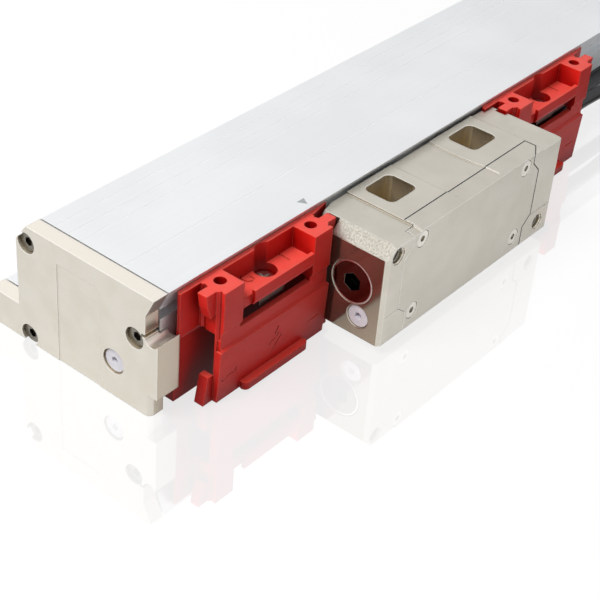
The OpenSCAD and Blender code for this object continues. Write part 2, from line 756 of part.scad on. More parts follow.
// ---------- end caps, drawn for the left end with the outer face at x = 0 ----------
module cap_shape() {
  block_mid = (body_depth + block_depth) / 2;
  difference() {
    union() {
      bar(0, cap_t) section_outline(body_depth);
      bar(0, cap_t) translate([body_depth - 1, block_z0]) square([1 + block_depth - body_depth, block_z1 - block_z0]);
      bar(cap_t - eps, block_len) translate([body_depth + brace_clear, block_z0])
        square([block_depth - body_depth - brace_clear, block_z1 - block_z0]);
      flat(0, block_z0 + eps) difference() {
        translate([0, body_depth - 4]) square([cap_foot_len - 0.5, cap_foot_depth - body_depth + 4]);
        translate([-eps, cap_foot_depth - cap_foot_r]) difference() {
          square([cap_foot_r, cap_foot_r + 1]);
          translate([cap_foot_r, 0]) circle(r = cap_foot_r, $fn = fine);
        }
      }
    }
    rod_x(-1, block_len + 1, block_mid, block_z1 + block_hollow_rise, block_hollow_r);
    slab(-1, cap_t + 1, body_depth - undercut_depth, body_depth + 1, block_z1 + block_hollow_rise - undercut_h / 2,
      block_z1 + block_hollow_rise + undercut_h / 2);
    for (p = cap_screw_places) {
      rod_x(-1, cap_bore_depth, p[0], p[1], cap_bore_r);
      rod_x(-1, cap_t + 1, p[0], p[1], cap_shank_r);
    }
    rod_x(-1, air_recess_depth, air_plug_d, air_plug_z, air_recess_r);
    rod_x(-1, cap_t + 1, air_plug_d, air_plug_z, air_stem_r);
    slab(-1, panel_t, panel_d0, panel_d1, -1, panel_h);
  }
}
module end_cap_left() color("#d4cec1") translate([x_left, 0, 0]) cap_shape();
module end_cap_right() color("#d4cec1") translate([x_right, 0, 0]) mirror([1, 0, 0]) cap_shape();
module gasket_shape() {
  difference() {
    bar(cap_t, cap_t + gasket_t) difference() {
      polygon([[gasket_inset, gasket_inset], [foot_depth - gasket_inset, gasket_inset],
        [foot_depth - gasket_inset, lower_edge_z + gasket_inset], [body_depth - gasket_inset, lower_edge_z + gasket_inset],
        [body_depth - gasket_inset, groove_z0 - gasket_inset], [body_depth - groove_depth - gasket_inset, groove_z0 - gasket_inset],
        [body_depth - groove_depth - gasket_inset, body_h - gasket_inset], [bevel_depth, body_h - gasket_inset],
        [gasket_inset, body_h - bevel_h]]);
      translate([back_wall + 1, floor_wall + 1]) square([cavity_d1 - screw_land_depth - back_wall - 3, cavity_z1 - floor_wall - 2]);
    }
    for (p = cap_screw_places) rod_x(0, cap_t + 1, p[0], p[1], cap_shank_r + 0.2);
  }
}
module end_gaskets() color("#2b2d30") {
  translate([x_left, 0, 0]) gasket_shape();
  translate([x_right, 0, 0]) mirror([1, 0, 0]) gasket_shape();
}
module socket_screw_x(p, x_seat, head_r, head_h, shank_r, shank_len) {
  difference() {
    union() {
      rod_x(x_seat - head_h, x_seat, p[0], p[1], head_r);
      rod_x(x_seat - eps, x_seat + shank_len, p[0], p[1], shank_r, coarse);
    }
    rod_x(x_seat - head_h - 1, x_seat - head_h / 3, p[0], p[1], head_r / 2, 6);
  }
}
module cap_screws() color("#8f8b84") {
  for (p = cap_screw_places) {
    translate([x_left, 0, 0]) socket_screw_x(p, cap_bore_depth, cap_head_r, cap_head_h, cap_shank_r, cap_shank_len - 4);
    translate([x_right, 0, 0]) mirror([1, 0, 0])
      socket_screw_x(p, cap_bore_depth, cap_head_r, cap_head_h, cap_shank_r, cap_shank_len - 4);
  }
}
module air_plug_shape(d, z, seat, stem_len) {
  difference() {
    union() {
      rod_x(seat - air_head_t, seat, d, z, air_head_r);
      rod_x(seat - eps, seat + stem_len, d, z, air_stem_r);
    }
    rod_x(seat - air_head_t - 1, seat + air_head_t / 2, d, z, air_head_r / 3, 6);
  }
}
module cap_air_plugs() color("#e9e7ec") {
  translate([x_left, 0, 0]) air_plug_shape(air_plug_d, air_plug_z, air_recess_depth, cap_t - air_recess_depth);
  translate([x_right, 0, 0]) mirror([1, 0, 0])
    air_plug_shape(air_plug_d, air_plug_z, air_recess_depth, cap_t - air_recess_depth);
}

// ---------- scale and seals ----------
module glass_scale() color("#9fc3cf") {
  half = (measuring_length + glass_extra) / 2;
  slab(-half, half, glass_d, glass_d1, glass_z0, glass_z1);
}
module scale_beads() color("#d9d6cc") {
  half = (measuring_length + glass_extra) / 2;
  slab(-half, half, glass_d - bead_t, glass_d, cavity_z1 - rib_h, glass_z1);
  slab(-half, half, glass_d1, glass_d1 + bead_t, cavity_z1 - rib_h, glass_z1);
}
module lip_half() {
  seat_d = body_depth - lip_seat_depth;
  polygon([[seat_d, lip_seat_half], [body_depth - 0.3, lip_seat_half], [body_depth - 0.3, slot_half - 0.4],
    [seat_d - lip_reach + lip_tip, lip_gap_half], [seat_d - lip_reach, lip_gap_half + lip_tip],
    [seat_d, slot_half - eps]]);
}
module lip_upper() color("#1f2123") bar(bar_x0, bar_x1) translate([0, slot_z]) lip_half();
module lip_lower() color("#1f2123") bar(bar_x0, bar_x1) translate([0, slot_z]) mirror([0, 1]) lip_half();

// ---------- shipping brace, drawn with its middle at x = 0 ----------
module top_hook() {
  translate([brace_half - eps, brace_z1 - top_hook_h])
    polygon([[0, 0.6], [hook_reach - top_hook_taper, 0], [hook_reach - 0.4 * top_hook_taper, top_hook_h * 0.45],
      [hook_reach, top_hook_h], [0, top_hook_h]]);
}
module low_hook() {
  translate([brace_half - eps, brace_z0])
    polygon([[0, 0], [low_hook_reach, 0], [low_hook_reach - low_hook_taper, low_hook_h], [0, low_hook_h]]);
}
module stroke(p) {
  for (i = [0 : len(p) - 2]) {
    v = p[i + 1] - p[i];
    translate(p[i]) rotate(atan2(v[1], v[0])) translate([-mark_w / 2, -mark_w / 2]) square([norm(v) + mark_w, mark_w]);
  }
}
module brace_shape() {
  tower_x = brace_half - tower_l;
  front_x = brace_half - front_set_back;
  difference() {
    union() {
      // plate on the housing, with the catch under its lower edge
      difference() {
        bar(-plate_half, plate_half) polygon([[plate_d0 - catch_depth, brace_z0], [plate_d1, brace_z0],
          [plate_d1, tower_z0 - 3.5], [slope_clear + plate_top_t, tower_z0 - 1], [slope_clear + plate_top_t, brace_z1],
          [slope_clear, brace_z1], [slope_clear, tower_z0 + 1], [plate_d0, tower_z0 - 3],
          [plate_d0, catch_h + 0.6], [plate_d0 - catch_depth, catch_h]]);
        flat(catch_h + 1, brace_z1 + 1) {
          polygon([[-plate_half - 1, plate_d0 - 1], [-plate_half + plate_bevel, plate_d0 - 1],
            [-plate_half + plate_bevel, plate_d0], [-plate_half, slope_clear + 0.6], [-plate_half - 1, slope_clear + 0.6]]);
          polygon([[brace_half + 1, slope_clear + plate_top_t + 1], [brace_half + 1, slope_clear + plate_top_t],
            [plate_half, slope_clear + 0.25], [plate_half + 1, slope_clear + 0.25],
            [plate_half + 1, slope_clear + plate_top_t + 1]]);
        }
      }
      // front plate with its step
      bar(-front_x, front_x) polygon([[brace_inner, brace_z0], [brace_front - front_fall, brace_z0],
        [brace_front, step_z], [brace_front - step_relief, step_z + step_relief],
        [brace_front - step_relief, tower_z0 - 1], [brace_front, tower_z0], [brace_front, tower_z0 + 2],
        [brace_inner, tower_z0 + 2]]);
      bar(-foot_half, foot_half) polygon([[brace_inner, brace_z0], [brace_front - front_fall, brace_z0],
        [brace_front, step_z], [brace_inner, step_z]]);
      bar(-brace_half, brace_half) polygon([[brace_inner, brace_z0], [brace_front - 1.7, brace_z0],
        [brace_front - 1.7, tower_z0 + 2], [brace_inner, tower_z0 + 2]]);
      // towers
      for (s = [0, 1]) mirror([s, 0, 0]) {
        bar(tower_x, brace_half) polygon([[plate_d0, tower_z0], [brace_front - 1.7, tower_z0],
          [brace_front - 1.7, brace_z1], [slope_clear, brace_z1], [plate_d0, slope_z + 0.2]]);
        bar(tower_x, front_x) polygon([[brace_front - 2, tower_z0], [brace_front, tower_z0],
          [brace_front, brace_z1], [brace_front - 2, brace_z1]]);
      }
      // platform with its tongue in the housing groove
      bar(-tower_x - eps, tower_x + eps) polygon([[plate_d0, deck_z - deck_t], [brace_front - deck_rib_w, deck_z - deck_t],
        [brace_front - deck_rib_w, deck_z], [plate_d0, deck_z]]);
      slab(-brace_half, brace_half, plate_d0 - tongue_depth, plate_d0 + eps, deck_z - tongue_h / 2, deck_z + tongue_h / 2);
      bar(-tower_x + deck_notch, tower_x + eps) polygon([[brace_front - deck_rib_w - eps, deck_z - deck_t],
        [brace_front - 0.5, deck_z - deck_t], [brace_front + 0.2, deck_z + deck_rib_rise - deck_rib_h],
        [brace_front, deck_z + deck_rib_rise], [brace_front - deck_rib_w, deck_z + deck_rib_rise]]);
      // wall round the screw well
      rod_z(well_x, well_d, collar_z0, deck_z - deck_t + eps, well_r + collar_wall);
      // webs that tie the plates together under the towers
      for (s = [-1, 1]) translate([s * (tower_x + tower_l / 2), 0, 0])
        slab(-tower_l / 2, tower_l / 2, slope_clear + eps, brace_inner + eps, tower_z0 - 1.2, tower_z0 + eps);
      // lip along the foot
      slab(-foot_lip_l / 2 + foot_lip_reach, foot_lip_l / 2 - foot_lip_reach, brace_front - front_fall - 0.2,
        brace_front + foot_lip_reach, brace_z0, brace_z0 + foot_lip_h);
      for (s = [-1, 1]) rod_z(s * (foot_lip_l / 2 - foot_lip_reach), brace_front, brace_z0, brace_z0 + foot_lip_h,
        foot_lip_reach, coarse);
      // hooks
      for (s = [0, 1]) mirror([s, 0, 0]) {
        upright(hook_d0, hook_d0 + hook_t) top_hook();
        upright(hook_d0, brace_inner + eps) low_hook();
      }
    }
    // window under the platform
    slab(-tower_x, tower_x, brace_inner - eps, brace_front + 1, window_z0, deck_z - deck_t);
    // tower holes
    for (s = [-1, 1]) rod_z(s * tower_hole_x, tower_hole_d, tower_z0 - 3, brace_z1 + 1, tower_hole_r);
    // grooves beside the hooks
    for (s = [0, 1]) mirror([s, 0, 0]) flat(tower_z0 - 3, brace_z1 + 1) {
      polygon([[brace_half + 0.6, slope_clear + plate_top_t], [brace_half - 0.5, slope_clear + plate_top_t + 1],
        [brace_half - 0.1, hook_d0], [brace_half + 0.6, hook_d0]]);
      polygon([[brace_half + 0.3, hook_d0 + hook_t], [front_x - 0.5, hook_d0 + hook_t + 1],
        [front_x + 0.1, brace_front - 0.9], [brace_half + 0.3, brace_front - 0.9]]);
    }
    // guide marks, plain strokes
    upright(brace_front - mark_t - front_fall / 2, brace_front + 1) {
      stroke([[-14.8, 8.5], [-15.2, 7.6], [-17.8, 7.6], [-19.6, 6.6], [-20.2, 7.2]]);
      stroke([[1.2, 13], [0.2, 11.2]]);
      stroke([[1.5, 10.6], [1.1, 9.9]]);
      stroke([[2.8, 9.5], [-0.4, 5.8]]);
      stroke([[-1.8, 8.3], [-0.7, 9.4], [0, 9.5]]);
      stroke([[14.6, 7.4], [16.4, 7.6], [18.2, 7.7]]);
    }
    flat(deck_z - mark_t, deck_z + 1) {
      translate([0, well_d]) stroke([[-6.6, -2.2], [-6.6, -1.5], [-6.3, 0.2], [-5.1, 1], [-4, 0.5], [-4.1, -0.6]]);
      translate([0, well_d]) stroke([[8.3, -2.2], [8.8, -1.4], [8.6, 1.6]]);
    }
    // screw well
    rod_z(well_x, well_d, well_seat_z, brace_z1 + 1, well_r);
    rod_z(well_x, well_d, collar_z0 - 1, well_seat_z + 1, clamp_shank_r + 0.2, coarse);
  }
}
module clamp_screw_shape() {
  difference() {
    union() {
      rod_z(well_x, well_d, well_seat_z, well_seat_z + clamp_head_h, clamp_head_r);
      rod_z(well_x, well_d, collar_z0 - nut_t - 0.4, well_seat_z + eps, clamp_shank_r, coarse);
    }
    for (a = [0, 90]) translate([well_x, back_y - well_d, well_seat_z + clamp_head_h / 2]) rotate(a)
      translate([-clamp_head_r * 0.6, -clamp_head_r * 0.12, 0])
        cube([clamp_head_r * 1.2, clamp_head_r * 0.24, clamp_head_h]);
  }
}
module clamp_nut_shape() {
  difference() {
    slab(nut_x - nut_l / 2, nut_x + nut_l / 2, brace_inner - 0.1 - nut_w, brace_inner - 0.1, collar_z0 - nut_t, collar_z0);
    rod_z(well_x, well_d, collar_z0 - nut_t - 1, collar_z0 + 1, clamp_shank_r, coarse);
  }
}
module brace_left() color("#e23a32") translate([bl_x, 0, 0]) brace_shape();
module brace_left_screw() color("#c9c7c2") translate([bl_x, 0, 0]) clamp_screw_shape();
module brace_left_nut() color("#8a7a6c") translate([bl_x, 0, 0]) clamp_nut_shape();
module brace_right() color("#e23a32") translate([br_x, 0, 0]) brace_shape();
module brace_right_screw() color("#c9c7c2") translate([br_x, 0, 0]) clamp_screw_shape();
module brace_right_nut() color("#8a7a6c") translate([br_x, 0, 0]) clamp_nut_shape();

// ---------- scanning head ----------
module head_section(low = head_z0) {
  polygon([[head_d0, low], [head_d1, low], [head_d1, head_z1 - edge_h], [head_d1 - edge_w, head_z1], [head_d0, head_z1]]);
}
// The cover as seen from the front, in x and z, grown by g
module cover_front(g) {
  x0 = hx0 + cover_x0 - g;
  x1 = hx0 + cover_x1 + g;
  c = cover_corner;
  polygon([[x0 + c, head_z0 - 1], [x1 - c, head_z0 - 1], [x1 - c, cover_low_z], [x1, cover_low_z + 0.8 * c],
    [x1, cover_high_z - c], [x1 - c, cover_high_z], [x1 - c, head_z1 + 1], [x0 + c, head_z1 + 1],
    [x0 + c, cover_high_z], [x0, cover_high_z - c], [x0, cover_low_z + 0.8 * c], [x0 + c, cover_low_z]]);
}
// The part of the cover that lies on top, in x and depth, grown by g
module cover_top(g) {
  x0 = hx0 + pad_x0 + 0.5 - g;
  x1 = hx0 + cover_x1 + g;
  c = cover_corner;
  polygon([[x0, head_d1 - cover_lip - g], [x1, head_d1 - cover_lip - g], [x1, head_d1 - 0.65 * c],
    [x1 - c, head_d1], [x1 - c, head_d1 + 1], [x0, head_d1 + 1]]);
}
module cover_room(g) {
  upright(cover_back - g, head_d1 + 1) cover_front(g);
  flat(head_z1 - cover_t - g, head_z1 + pad_rise + 1) cover_top(g);
}
module head_envelope() {
  difference() {
    union() {
      bar(hx0, hx1) head_section();
      bar(hx0 + pad_x0, hx0 + pad_x1) translate([0, pad_rise]) head_section(head_z1 - 4);
    }
    // near top end bevel
    upright(head_d0 - 1, head_d1 + 1) polygon([[hx0 - 1, head_z1 - near_bevel - 1], [hx0 + near_bevel + 1, head_z1 + 1],
      [hx0 - 1, head_z1 + 1]]);
    // far top end bevel
    upright(head_d0 - 1, head_d1 + 1) polygon([[hx1 + 1, head_z1 - small_bevel - 1], [hx1 - small_bevel - 1, head_z1 + 1],
      [hx1 + 1, head_z1 + 1]]);
    // bevels between the ends and the front
    flat(head_z0 - 1, head_z1 + 1) {
      polygon([[hx0 - 1, head_d1 - small_bevel - 1], [hx0 + small_bevel + 1, head_d1 + 1], [hx0 - 1, head_d1 + 1]]);
      polygon([[hx1 + 1, head_d1 - small_bevel - 1], [hx1 - small_bevel - 1, head_d1 + 1], [hx1 + 1, head_d1 + 1]]);
    }
    // middle land, a little lower, with a curved far edge
    flat(pad_z - middle_drop, pad_z + 1) difference() {
      translate([hx0 + middle_x0, head_d0 - 1]) square([middle_x1 - middle_x0, head_d1 - head_d0 + 2]);
      translate([hx0 + middle_x1 - 1 + middle_edge_r, (head_d0 + head_d1) / 2 - 4]) circle(r = middle_edge_r, $fn = 96);
    }
  }
}
module hook_room(x0, x1) {
  slab(x0, x1, hook_d0 - 0.3, hook_d0 + hook_t + 0.3, brace_z1 - top_hook_h - 0.4, pad_z + 1);
  slab(x0, x1, hook_d0 - 0.3, hook_d0 + hook_t + 0.3, head_z0 - 1, brace_z0 + low_hook_h + 0.4);
}
module head_block() color("#d0cabd") {
  ch_x0 = hx0 + chamber_x0;
  ch_x1 = hx0 + chamber_x1;
  ch_z0 = head_z0 + chamber_floor;
  ch_z1 = head_z1 - chamber_roof;
  difference() {
    head_envelope();
    cover_room(seam);
    // chamber behind the cover
    slab(ch_x0, ch_x1, chamber_d0, cover_back + 1, ch_z0, ch_z1);
    // cable way from the far end to the chamber
    rod_x(hx1 - ferrule_in - 2, hx1 + 1, cable_d, cable_z, cable_r + 0.1);
    slab(hx1 - ferrule_in - 2, hx1 - ferrule_in + ferrule_l + 0.5, cable_d - ferrule_r - 0.2, cover_back - 1.2,
      cable_z - ferrule_r - 0.2, cable_z + ferrule_r + 0.2);
    slab(ch_x1 - 1, hx1 - ferrule_in, chamber_d0 + 0.5, cover_back - 1.2, cable_z - ferrule_r - 0.2,
      cable_z + ferrule_r + 0.2);
    // screw pockets and mounting holes
    for (k = [0, 1]) {
      px = hx0 + pocket_x + k * pocket_step;
      flat(head_z0 + pocket_floor, pad_z + 1) translate([px, pocket_d]) rounded(pocket_l, pocket_w, pocket_r);
      rod_z(px, pocket_d, head_z0 - 1, pad_z, mount_hole_r);
    }
    // threaded holes in the front
    for (p = [[thread_x0, thread_z0], [thread_x1, thread_z1]]) {
      rod_d(hx0 + p[0], head_d1 - thread_depth, head_d1 + 1, p[1], thread_r);
      rod_d(hx0 + p[0], head_d1 - thread_mouth_h, head_d1 + 1, p[1], thread_mouth_r);
    }
    // bores of the cover screws
    for (p = cover_screw_places) rod_d(hx0 + p[0], cover_back - cover_shank_len, cover_back + 1, p[1], cover_shank_r);
    // seat of the blanking plug
    rod_x(hx0 - 1, hx0 + plug_flange, plug_d, plug_z, plug_r + 0.15);
    rod_x(hx0 - 1, ch_x0 + 1, plug_d, plug_z, plug_stem_r);
    // seat of the small air plug
    rod_x(hx0 - 1, hx0 + air_head_t + 0.4, head_air_d, head_air_z, air_head_r + 0.2);
    rod_x(hx0 - 1, ch_x0 + 1, head_air_d, head_air_z, air_stem_r);
    // room for the plates of the braces behind the head
    flat(head_z0 - 1, pad_z + 1) polygon([[hx0 - 1, head_d0 - 1], [hx0 - 1, head_d0 + plate_room + 0.6],
      [hx0, head_d0 + plate_room + 0.6], [hx0 + near_relief, head_d0], [hx0 + near_relief, head_d0 - 1]]);
    slab(hx1 - far_relief, hx1 + 1, head_d0 - 1, head_d0 + plate_room, tower_z0 - 3.2, pad_z + 1);
    // room for the hooks of the braces
    hook_room(hx0 - 1, hx0 + near_notch);
    hook_room(hx1 - far_notch, hx1 + 1);
    // slot for the blade and bores of its screws
    slab(hxm - blade_l / 2 - 0.1, hxm + blade_l / 2 + 0.1, head_d0 - 1, blade_d1 + 0.1, blade_z0, blade_z0 + blade_t);
    for (s = [-1, 1]) {
      rod_z(hxm + s * blade_screw_step / 2, blade_screw_d, head_z0 - 1, blade_z0 + blade_t + 5, blade_shank_r, coarse);
      rod_z(hxm + s * blade_screw_step / 2, blade_screw_d, head_z0 - 1, head_z0 + 3, blade_head_r + 0.2, coarse);
    }
    // fine seam towards the lower corners
    slab(hx0 - 1, hx0 + cover_x0 + 1, head_d1 - 0.3, head_d1 + 1, corner_seam_z - 0.1, corner_seam_z + 0.1);
    slab(hx0 + cover_x1 - 1, hx1 + 1, head_d1 - 0.3, head_d1 + 1, corner_seam_z - 0.1, corner_seam_z + 0.1);
  }
}
blade_screw_d = blade_d1 - 3.4;
cover_screw_places = [[cover_screw_x0, cover_screw_z0], [cover_screw_x0 + cover_screw_shift, cover_screw_z1],
  [cover_screw_x1, cover_screw_z0], [cover_screw_x1 + cover_screw_shift, cover_screw_z1]];
module head_cover() color("#cfc9bc") {
  difference() {
    intersection() {
      union() {
        upright(cover_back, head_d1 + 1) cover_front(0);
        flat(head_z1 - cover_t, pad_z + 1) cover_top(0);
      }
      head_envelope();
    }
    for (p = cover_screw_places) {
      rod_d(hx0 + p[0], cover_back - cover_shank_len, head_d1 + 1, p[1], cover_shank_r);
      rod_d(hx0 + p[0], head_d1 - cover_head_h, head_d1 + 1, p[1], cover_head_r + 0.15);
    }
  }
}
module cover_gasket() color("#2b2d30") {
  g0 = hx0 + cover_x0 + 1;
  g1 = hx0 + cover_x1 - 1;
  ch_x0 = hx0 + chamber_x0;
  slab(ch_x0 + 0.4, ch_x0 + 0.4 + 1.4, cover_back - cover_gasket_t - 1, cover_back, head_z0 + chamber_floor + 4,
    head_z1 - chamber_roof - 4);
  slab(hx0 + chamber_x1 - 1.8, hx0 + chamber_x1 - 0.4, cover_back - cover_gasket_t - 1, cover_back,
    head_z0 + chamber_floor + 4, head_z1 - chamber_roof - 4);
}
module cover_screws() color("#bdb8ac") {
  for (p = cover_screw_places) difference() {
    union() {
      rod_d(hx0 + p[0], head_d1 - cover_head_h, head_d1 - 0.15, p[1], cover_head_r);
      rod_d(hx0 + p[0], cover_back - cover_shank_len + 0.5, head_d1 - cover_head_h + eps, p[1], cover_shank_r, coarse);
    }
    rod_d(hx0 + p[0], head_d1 - cover_head_h * 0.7, head_d1 + 1, p[1], cover_head_r * 0.42, 6);
  }
}
module blanking_plug() color("#bcb7ab") {
  difference() {
    union() {
      rod_x(hx0 + 0.1, hx0 + plug_flange, plug_d, plug_z, plug_r);
      rod_x(hx0 + plug_flange - eps, hx0 + plug_flange + plug_stem_len, plug_d, plug_z, plug_stem_r);
    }
    rod_x(hx0 - 1, hx0 + plug_socket_depth, plug_d, plug_z, plug_socket / sqrt(3), 6);
  }
}
module head_air_plug() color("#e9e7ec") translate([hx0, 0, 0])
  air_plug_shape(head_air_d, head_air_z, air_head_t + 0.4, 5);
module head_board() color("#1d6b45") {
  zc = (head_z0 + chamber_floor + head_z1 - chamber_roof) / 2;
  x0 = hx0 + chamber_x0 + 1.5;
  slab(x0, x0 + board_l, chamber_d0 + 2, chamber_d0 + 2 + board_t, zc - board_h / 2, zc + board_h / 2);
  for (c = [chip_x0, chip_x1]) slab(x0 + c, x0 + c + chip_l, chamber_d0 + 2 + board_t - eps,
    chamber_d0 + 2 + board_t + chip_t, zc - chip_h / 2, zc + chip_h / 2);
  for (s = [0, 1]) slab(x0 + s * (board_l - 3), x0 + s * (board_l - 3) + 3, chamber_d0, chamber_d0 + 2 + eps, zc - 3, zc + 3);
}

// ---------- blade, spring and carriage ----------
module coupling_blade() color("#b9bcc0") {
  difference() {
    slab(hxm - blade_l / 2, hxm + blade_l / 2, blade_d0, blade_d1, blade_z0, blade_z0 + blade_t);
    for (s = [-1, 1]) rod_z(hxm + s * blade_screw_step / 2, blade_screw_d, blade_z0 - 1, blade_z0 + blade_t + 1, blade_shank_r, coarse);
  }
}
module blade_screws() color("#8f8b84") {
  for (s = [-1, 1]) difference() {
    union() {
      rod_z(hxm + s * blade_screw_step / 2, blade_screw_d, head_z0 + 0.6, head_z0 + 3, blade_head_r, coarse);
      rod_z(hxm + s * blade_screw_step / 2, blade_screw_d, head_z0 + 3 - eps, blade_z0 + blade_t + 4, blade_shank_r, coarse);
    }
    rod_z(hxm + s * blade_screw_step / 2, blade_screw_d, head_z0 - 1, head_z0 + 2, blade_head_r / 2, 6);
  }
}
module coupling_spring() color("#c7c9cc") {
  slab(hxm - spring_l / 2, hxm + spring_l / 2, blade_d0 - spring_t, blade_d0, slot_z - spring_h / 2, slot_z + spring_h / 2);
  for (s = [-1, 1]) slab(hxm + s * spring_l / 2 - (s > 0 ? spring_t : 0), hxm + s * spring_l / 2 + (s > 0 ? 0 : spring_t),
    leg_d1, blade_d0 - eps, slot_z - spring_h / 2, slot_z + spring_h / 2);
}
roller_places = [[-roller_span, roller_high_z], [roller_span, roller_high_z], [0, roller_low_z]];
edge_places = [-roller_span / 2, roller_span / 2];
module carriage_frame() color("#cdd1d5") {
  x0 = hxm - carriage_l / 2;
  x1 = hxm + carriage_l / 2;
  room = roller_r + 0.7;
  difference() {
    union() {
      slab(x0, x1, leg_d0, leg_d1, carriage_z0, leg_top);
      slab(x0, x1, back_leg_d0, back_leg_d1, carriage_z0, back_leg_top);
      slab(x0, x1, back_leg_d1 - eps, leg_d0 + eps, carriage_z0, carriage_z0 + web_t - 1);
    }
    // rooms and pin bores of the face rollers
    for (p = roller_places) {
      slab(hxm + p[0] - room, hxm + p[0] + room, leg_d0 - 1, leg_d1 + 1, p[1] - roller_w / 2 - 0.25, p[1] + roller_w / 2 + 0.25);
      rod_z(hxm + p[0], face_roller_d, p[1] - roller_w / 2 - 2, p[1] + roller_w / 2 + 2, pin_r, coarse);
    }
    // rooms and pin bores of the edge rollers
    for (e = edge_places) {
      slab(hxm + e - room, hxm + e + room, edge_roller_d - roller_w / 2 - 0.25, edge_roller_d + roller_w / 2 + 0.25,
        carriage_z0 - 1, glass_z0);
      rod_d(hxm + e, back_leg_d0 + 1, leg_d1 - 1, edge_roller_z, pin_r, coarse);
    }
    // light path
    slab(hxm - window_x - window_l, hxm - window_x, leg_d0 - 1, leg_d1 + 1, window_low, window_low + window_h);
    slab(hxm - window_x - window_l, hxm - window_x, back_leg_d0 - 1, back_leg_d1 + 1, window_low, window_low + window_h);
    // weight saving openings
    slab(hxm + 8, hxm + 18, back_leg_d0 - 1, back_leg_d1 + 1, 14, 22);
    slab(hxm - 3, hxm + 3, back_leg_d0 - 1, back_leg_d1 + 1, 14, 22);
  }
}
module roller_pins() color("#9a9da1") {
  for (p = roller_places)
    rod_z(hxm + p[0], face_roller_d, p[1] - roller_w / 2 - 2, p[1] + roller_w / 2 + 2, pin_r, coarse);
  for (e = edge_places) rod_d(hxm + e, back_leg_d0 + 1, leg_d1 - 1, edge_roller_z, pin_r, coarse);
}
module face_roller(p) {
  difference() {
    rod_z(hxm + p[0], face_roller_d, p[1] - roller_w / 2, p[1] + roller_w / 2, roller_r);
    rod_z(hxm + p[0], face_roller_d, p[1] - roller_w, p[1] + roller_w, pin_r + pin_play);
    for (z = [p[1] - roller_w / 2, p[1] + roller_w / 2 - 0.2]) difference() {
      rod_z(hxm + p[0], face_roller_d, z - eps, z + 0.2 + eps, roller_r - 0.6);
      rod_z(hxm + p[0], face_roller_d, z - 1, z + 1, pin_r + 0.6);
    }
  }
}
module edge_roller(e) {
  difference() {
    rod_d(hxm + e, edge_roller_d - roller_w / 2, edge_roller_d + roller_w / 2, edge_roller_z, roller_r);
    rod_d(hxm + e, edge_roller_d - roller_w, edge_roller_d + roller_w, edge_roller_z, pin_r + pin_play);
    for (d = [edge_roller_d - roller_w / 2, edge_roller_d + roller_w / 2 - 0.2]) difference() {
      rod_d(hxm + e, d - eps, d + 0.2 + eps, edge_roller_z, roller_r - 0.6);
      rod_d(hxm + e, d - 1, d + 1, edge_roller_z, pin_r + 0.6);
    }
  }
}
module roller_1() color("#b4b7bb") face_roller(roller_places[0]);
module roller_2() color("#b4b7bb") face_roller(roller_places[1]);
module roller_3() color("#b4b7bb") face_roller(roller_places[2]);
module roller_4() color("#b4b7bb") edge_roller(edge_places[0]);
module roller_5() color("#b4b7bb") edge_roller(edge_places[1]);
module lamp() color("#e8e4d0") {
  slab(hxm - window_x - window_l + 1, hxm - window_x - 1, leg_d0 + 1.6, leg_d1, window_low, window_low + window_h);
  rod_d(hxm - 13, leg_d1 - eps, leg_d1 + lamp_l / 2, 20.5, lamp_r);
}
module reticle() color("#a9c9b8") slab(hxm - 18, hxm - 18 + 10, leg_d0, leg_d0 + reticle_t, 18, 23);
module detector_board() color("#1d6b45") {
  slab(hxm - 13 - detector_l / 2, hxm - 13 + detector_l / 2, back_leg_d0 - detector_t, back_leg_d0,
    20.5 - detector_h / 2, 20.5 + detector_h / 2);
  slab(hxm - 17, hxm - 9, back_leg_d0 - eps, back_leg_d1 - 1.4, 18.5, 22.5);
}

// ---------- cable and connector ----------
module cable_ferrule() color("#b4b7bb") difference() {
  rod_x(hx1 - ferrule_in, hx1 - ferrule_in + ferrule_l, cable_d, cable_z, ferrule_r);
  rod_x(hx1 - ferrule_in - 1, hx1 - ferrule_in + ferrule_l + 1, cable_d, cable_z, cable_r);
}
module cable_lead() color("#17191c") tube(lead_points, cable_r, 5, [1, 0, 0], [1, 0, 0]);
module turn(r, z) {
  translate([coil_x, coil_y, z]) rotate_extrude($fn = 72) translate([r, 0]) circle(r = cable_r, $fn = 20);
}
module cable_coil() color("#17191c") {
  for (k = [0 : coil_turns - 1]) turn(coil_r - k * turn_step, cable_r + floor_gap);
  for (k = [0 : coil_turns - 2]) turn(coil_r - (k + 0.5) * turn_step, cable_r + floor_gap + turn_rise);
}
module cable_tail() color("#17191c") tube(tail_points, cable_r, 5, unit([-12, -7, 0]), [-1, 0, 0]);
// A round piece of the connector, with lengths counted from where the cable enters
module con_rod(x0, x1, r, n = fine) {
  translate([con_x - x0, con_y, con_z]) rotate([0, -90, 0]) cylinder(h = x1 - x0, r = r, $fn = n);
}
mouth_l = 12;
insert_l = 6;
module connector_body() color("#c3c6c9") {
  difference() {
    union() {
      con_rod(0, rear_l, rear_r);
      con_rod(rear_l - eps, rear_l + connector_l, connector_r);
      con_rod(rear_l - 2, rear_l - 2 + nut_len, nut_r, 6);
    }
    con_rod(rear_l + connector_l - mouth_l, rear_l + connector_l + 1, connector_r - 1.5);
  }
}
module connector_insert() color("#2a2c2f") {
  face = rear_l + connector_l - mouth_l + insert_l;
  con_rod(face - insert_l, face, connector_r - 1.55);
  for (k = [0 : contact_count - 1]) {
    a = 360 * k / contact_count;
    translate([con_x - face + eps, con_y + contact_circle_r * cos(a), con_z + contact_circle_r * sin(a)])
      rotate([0, -90, 0]) cylinder(h = contact_l, r = contact_r, $fn = 16);
  }
}
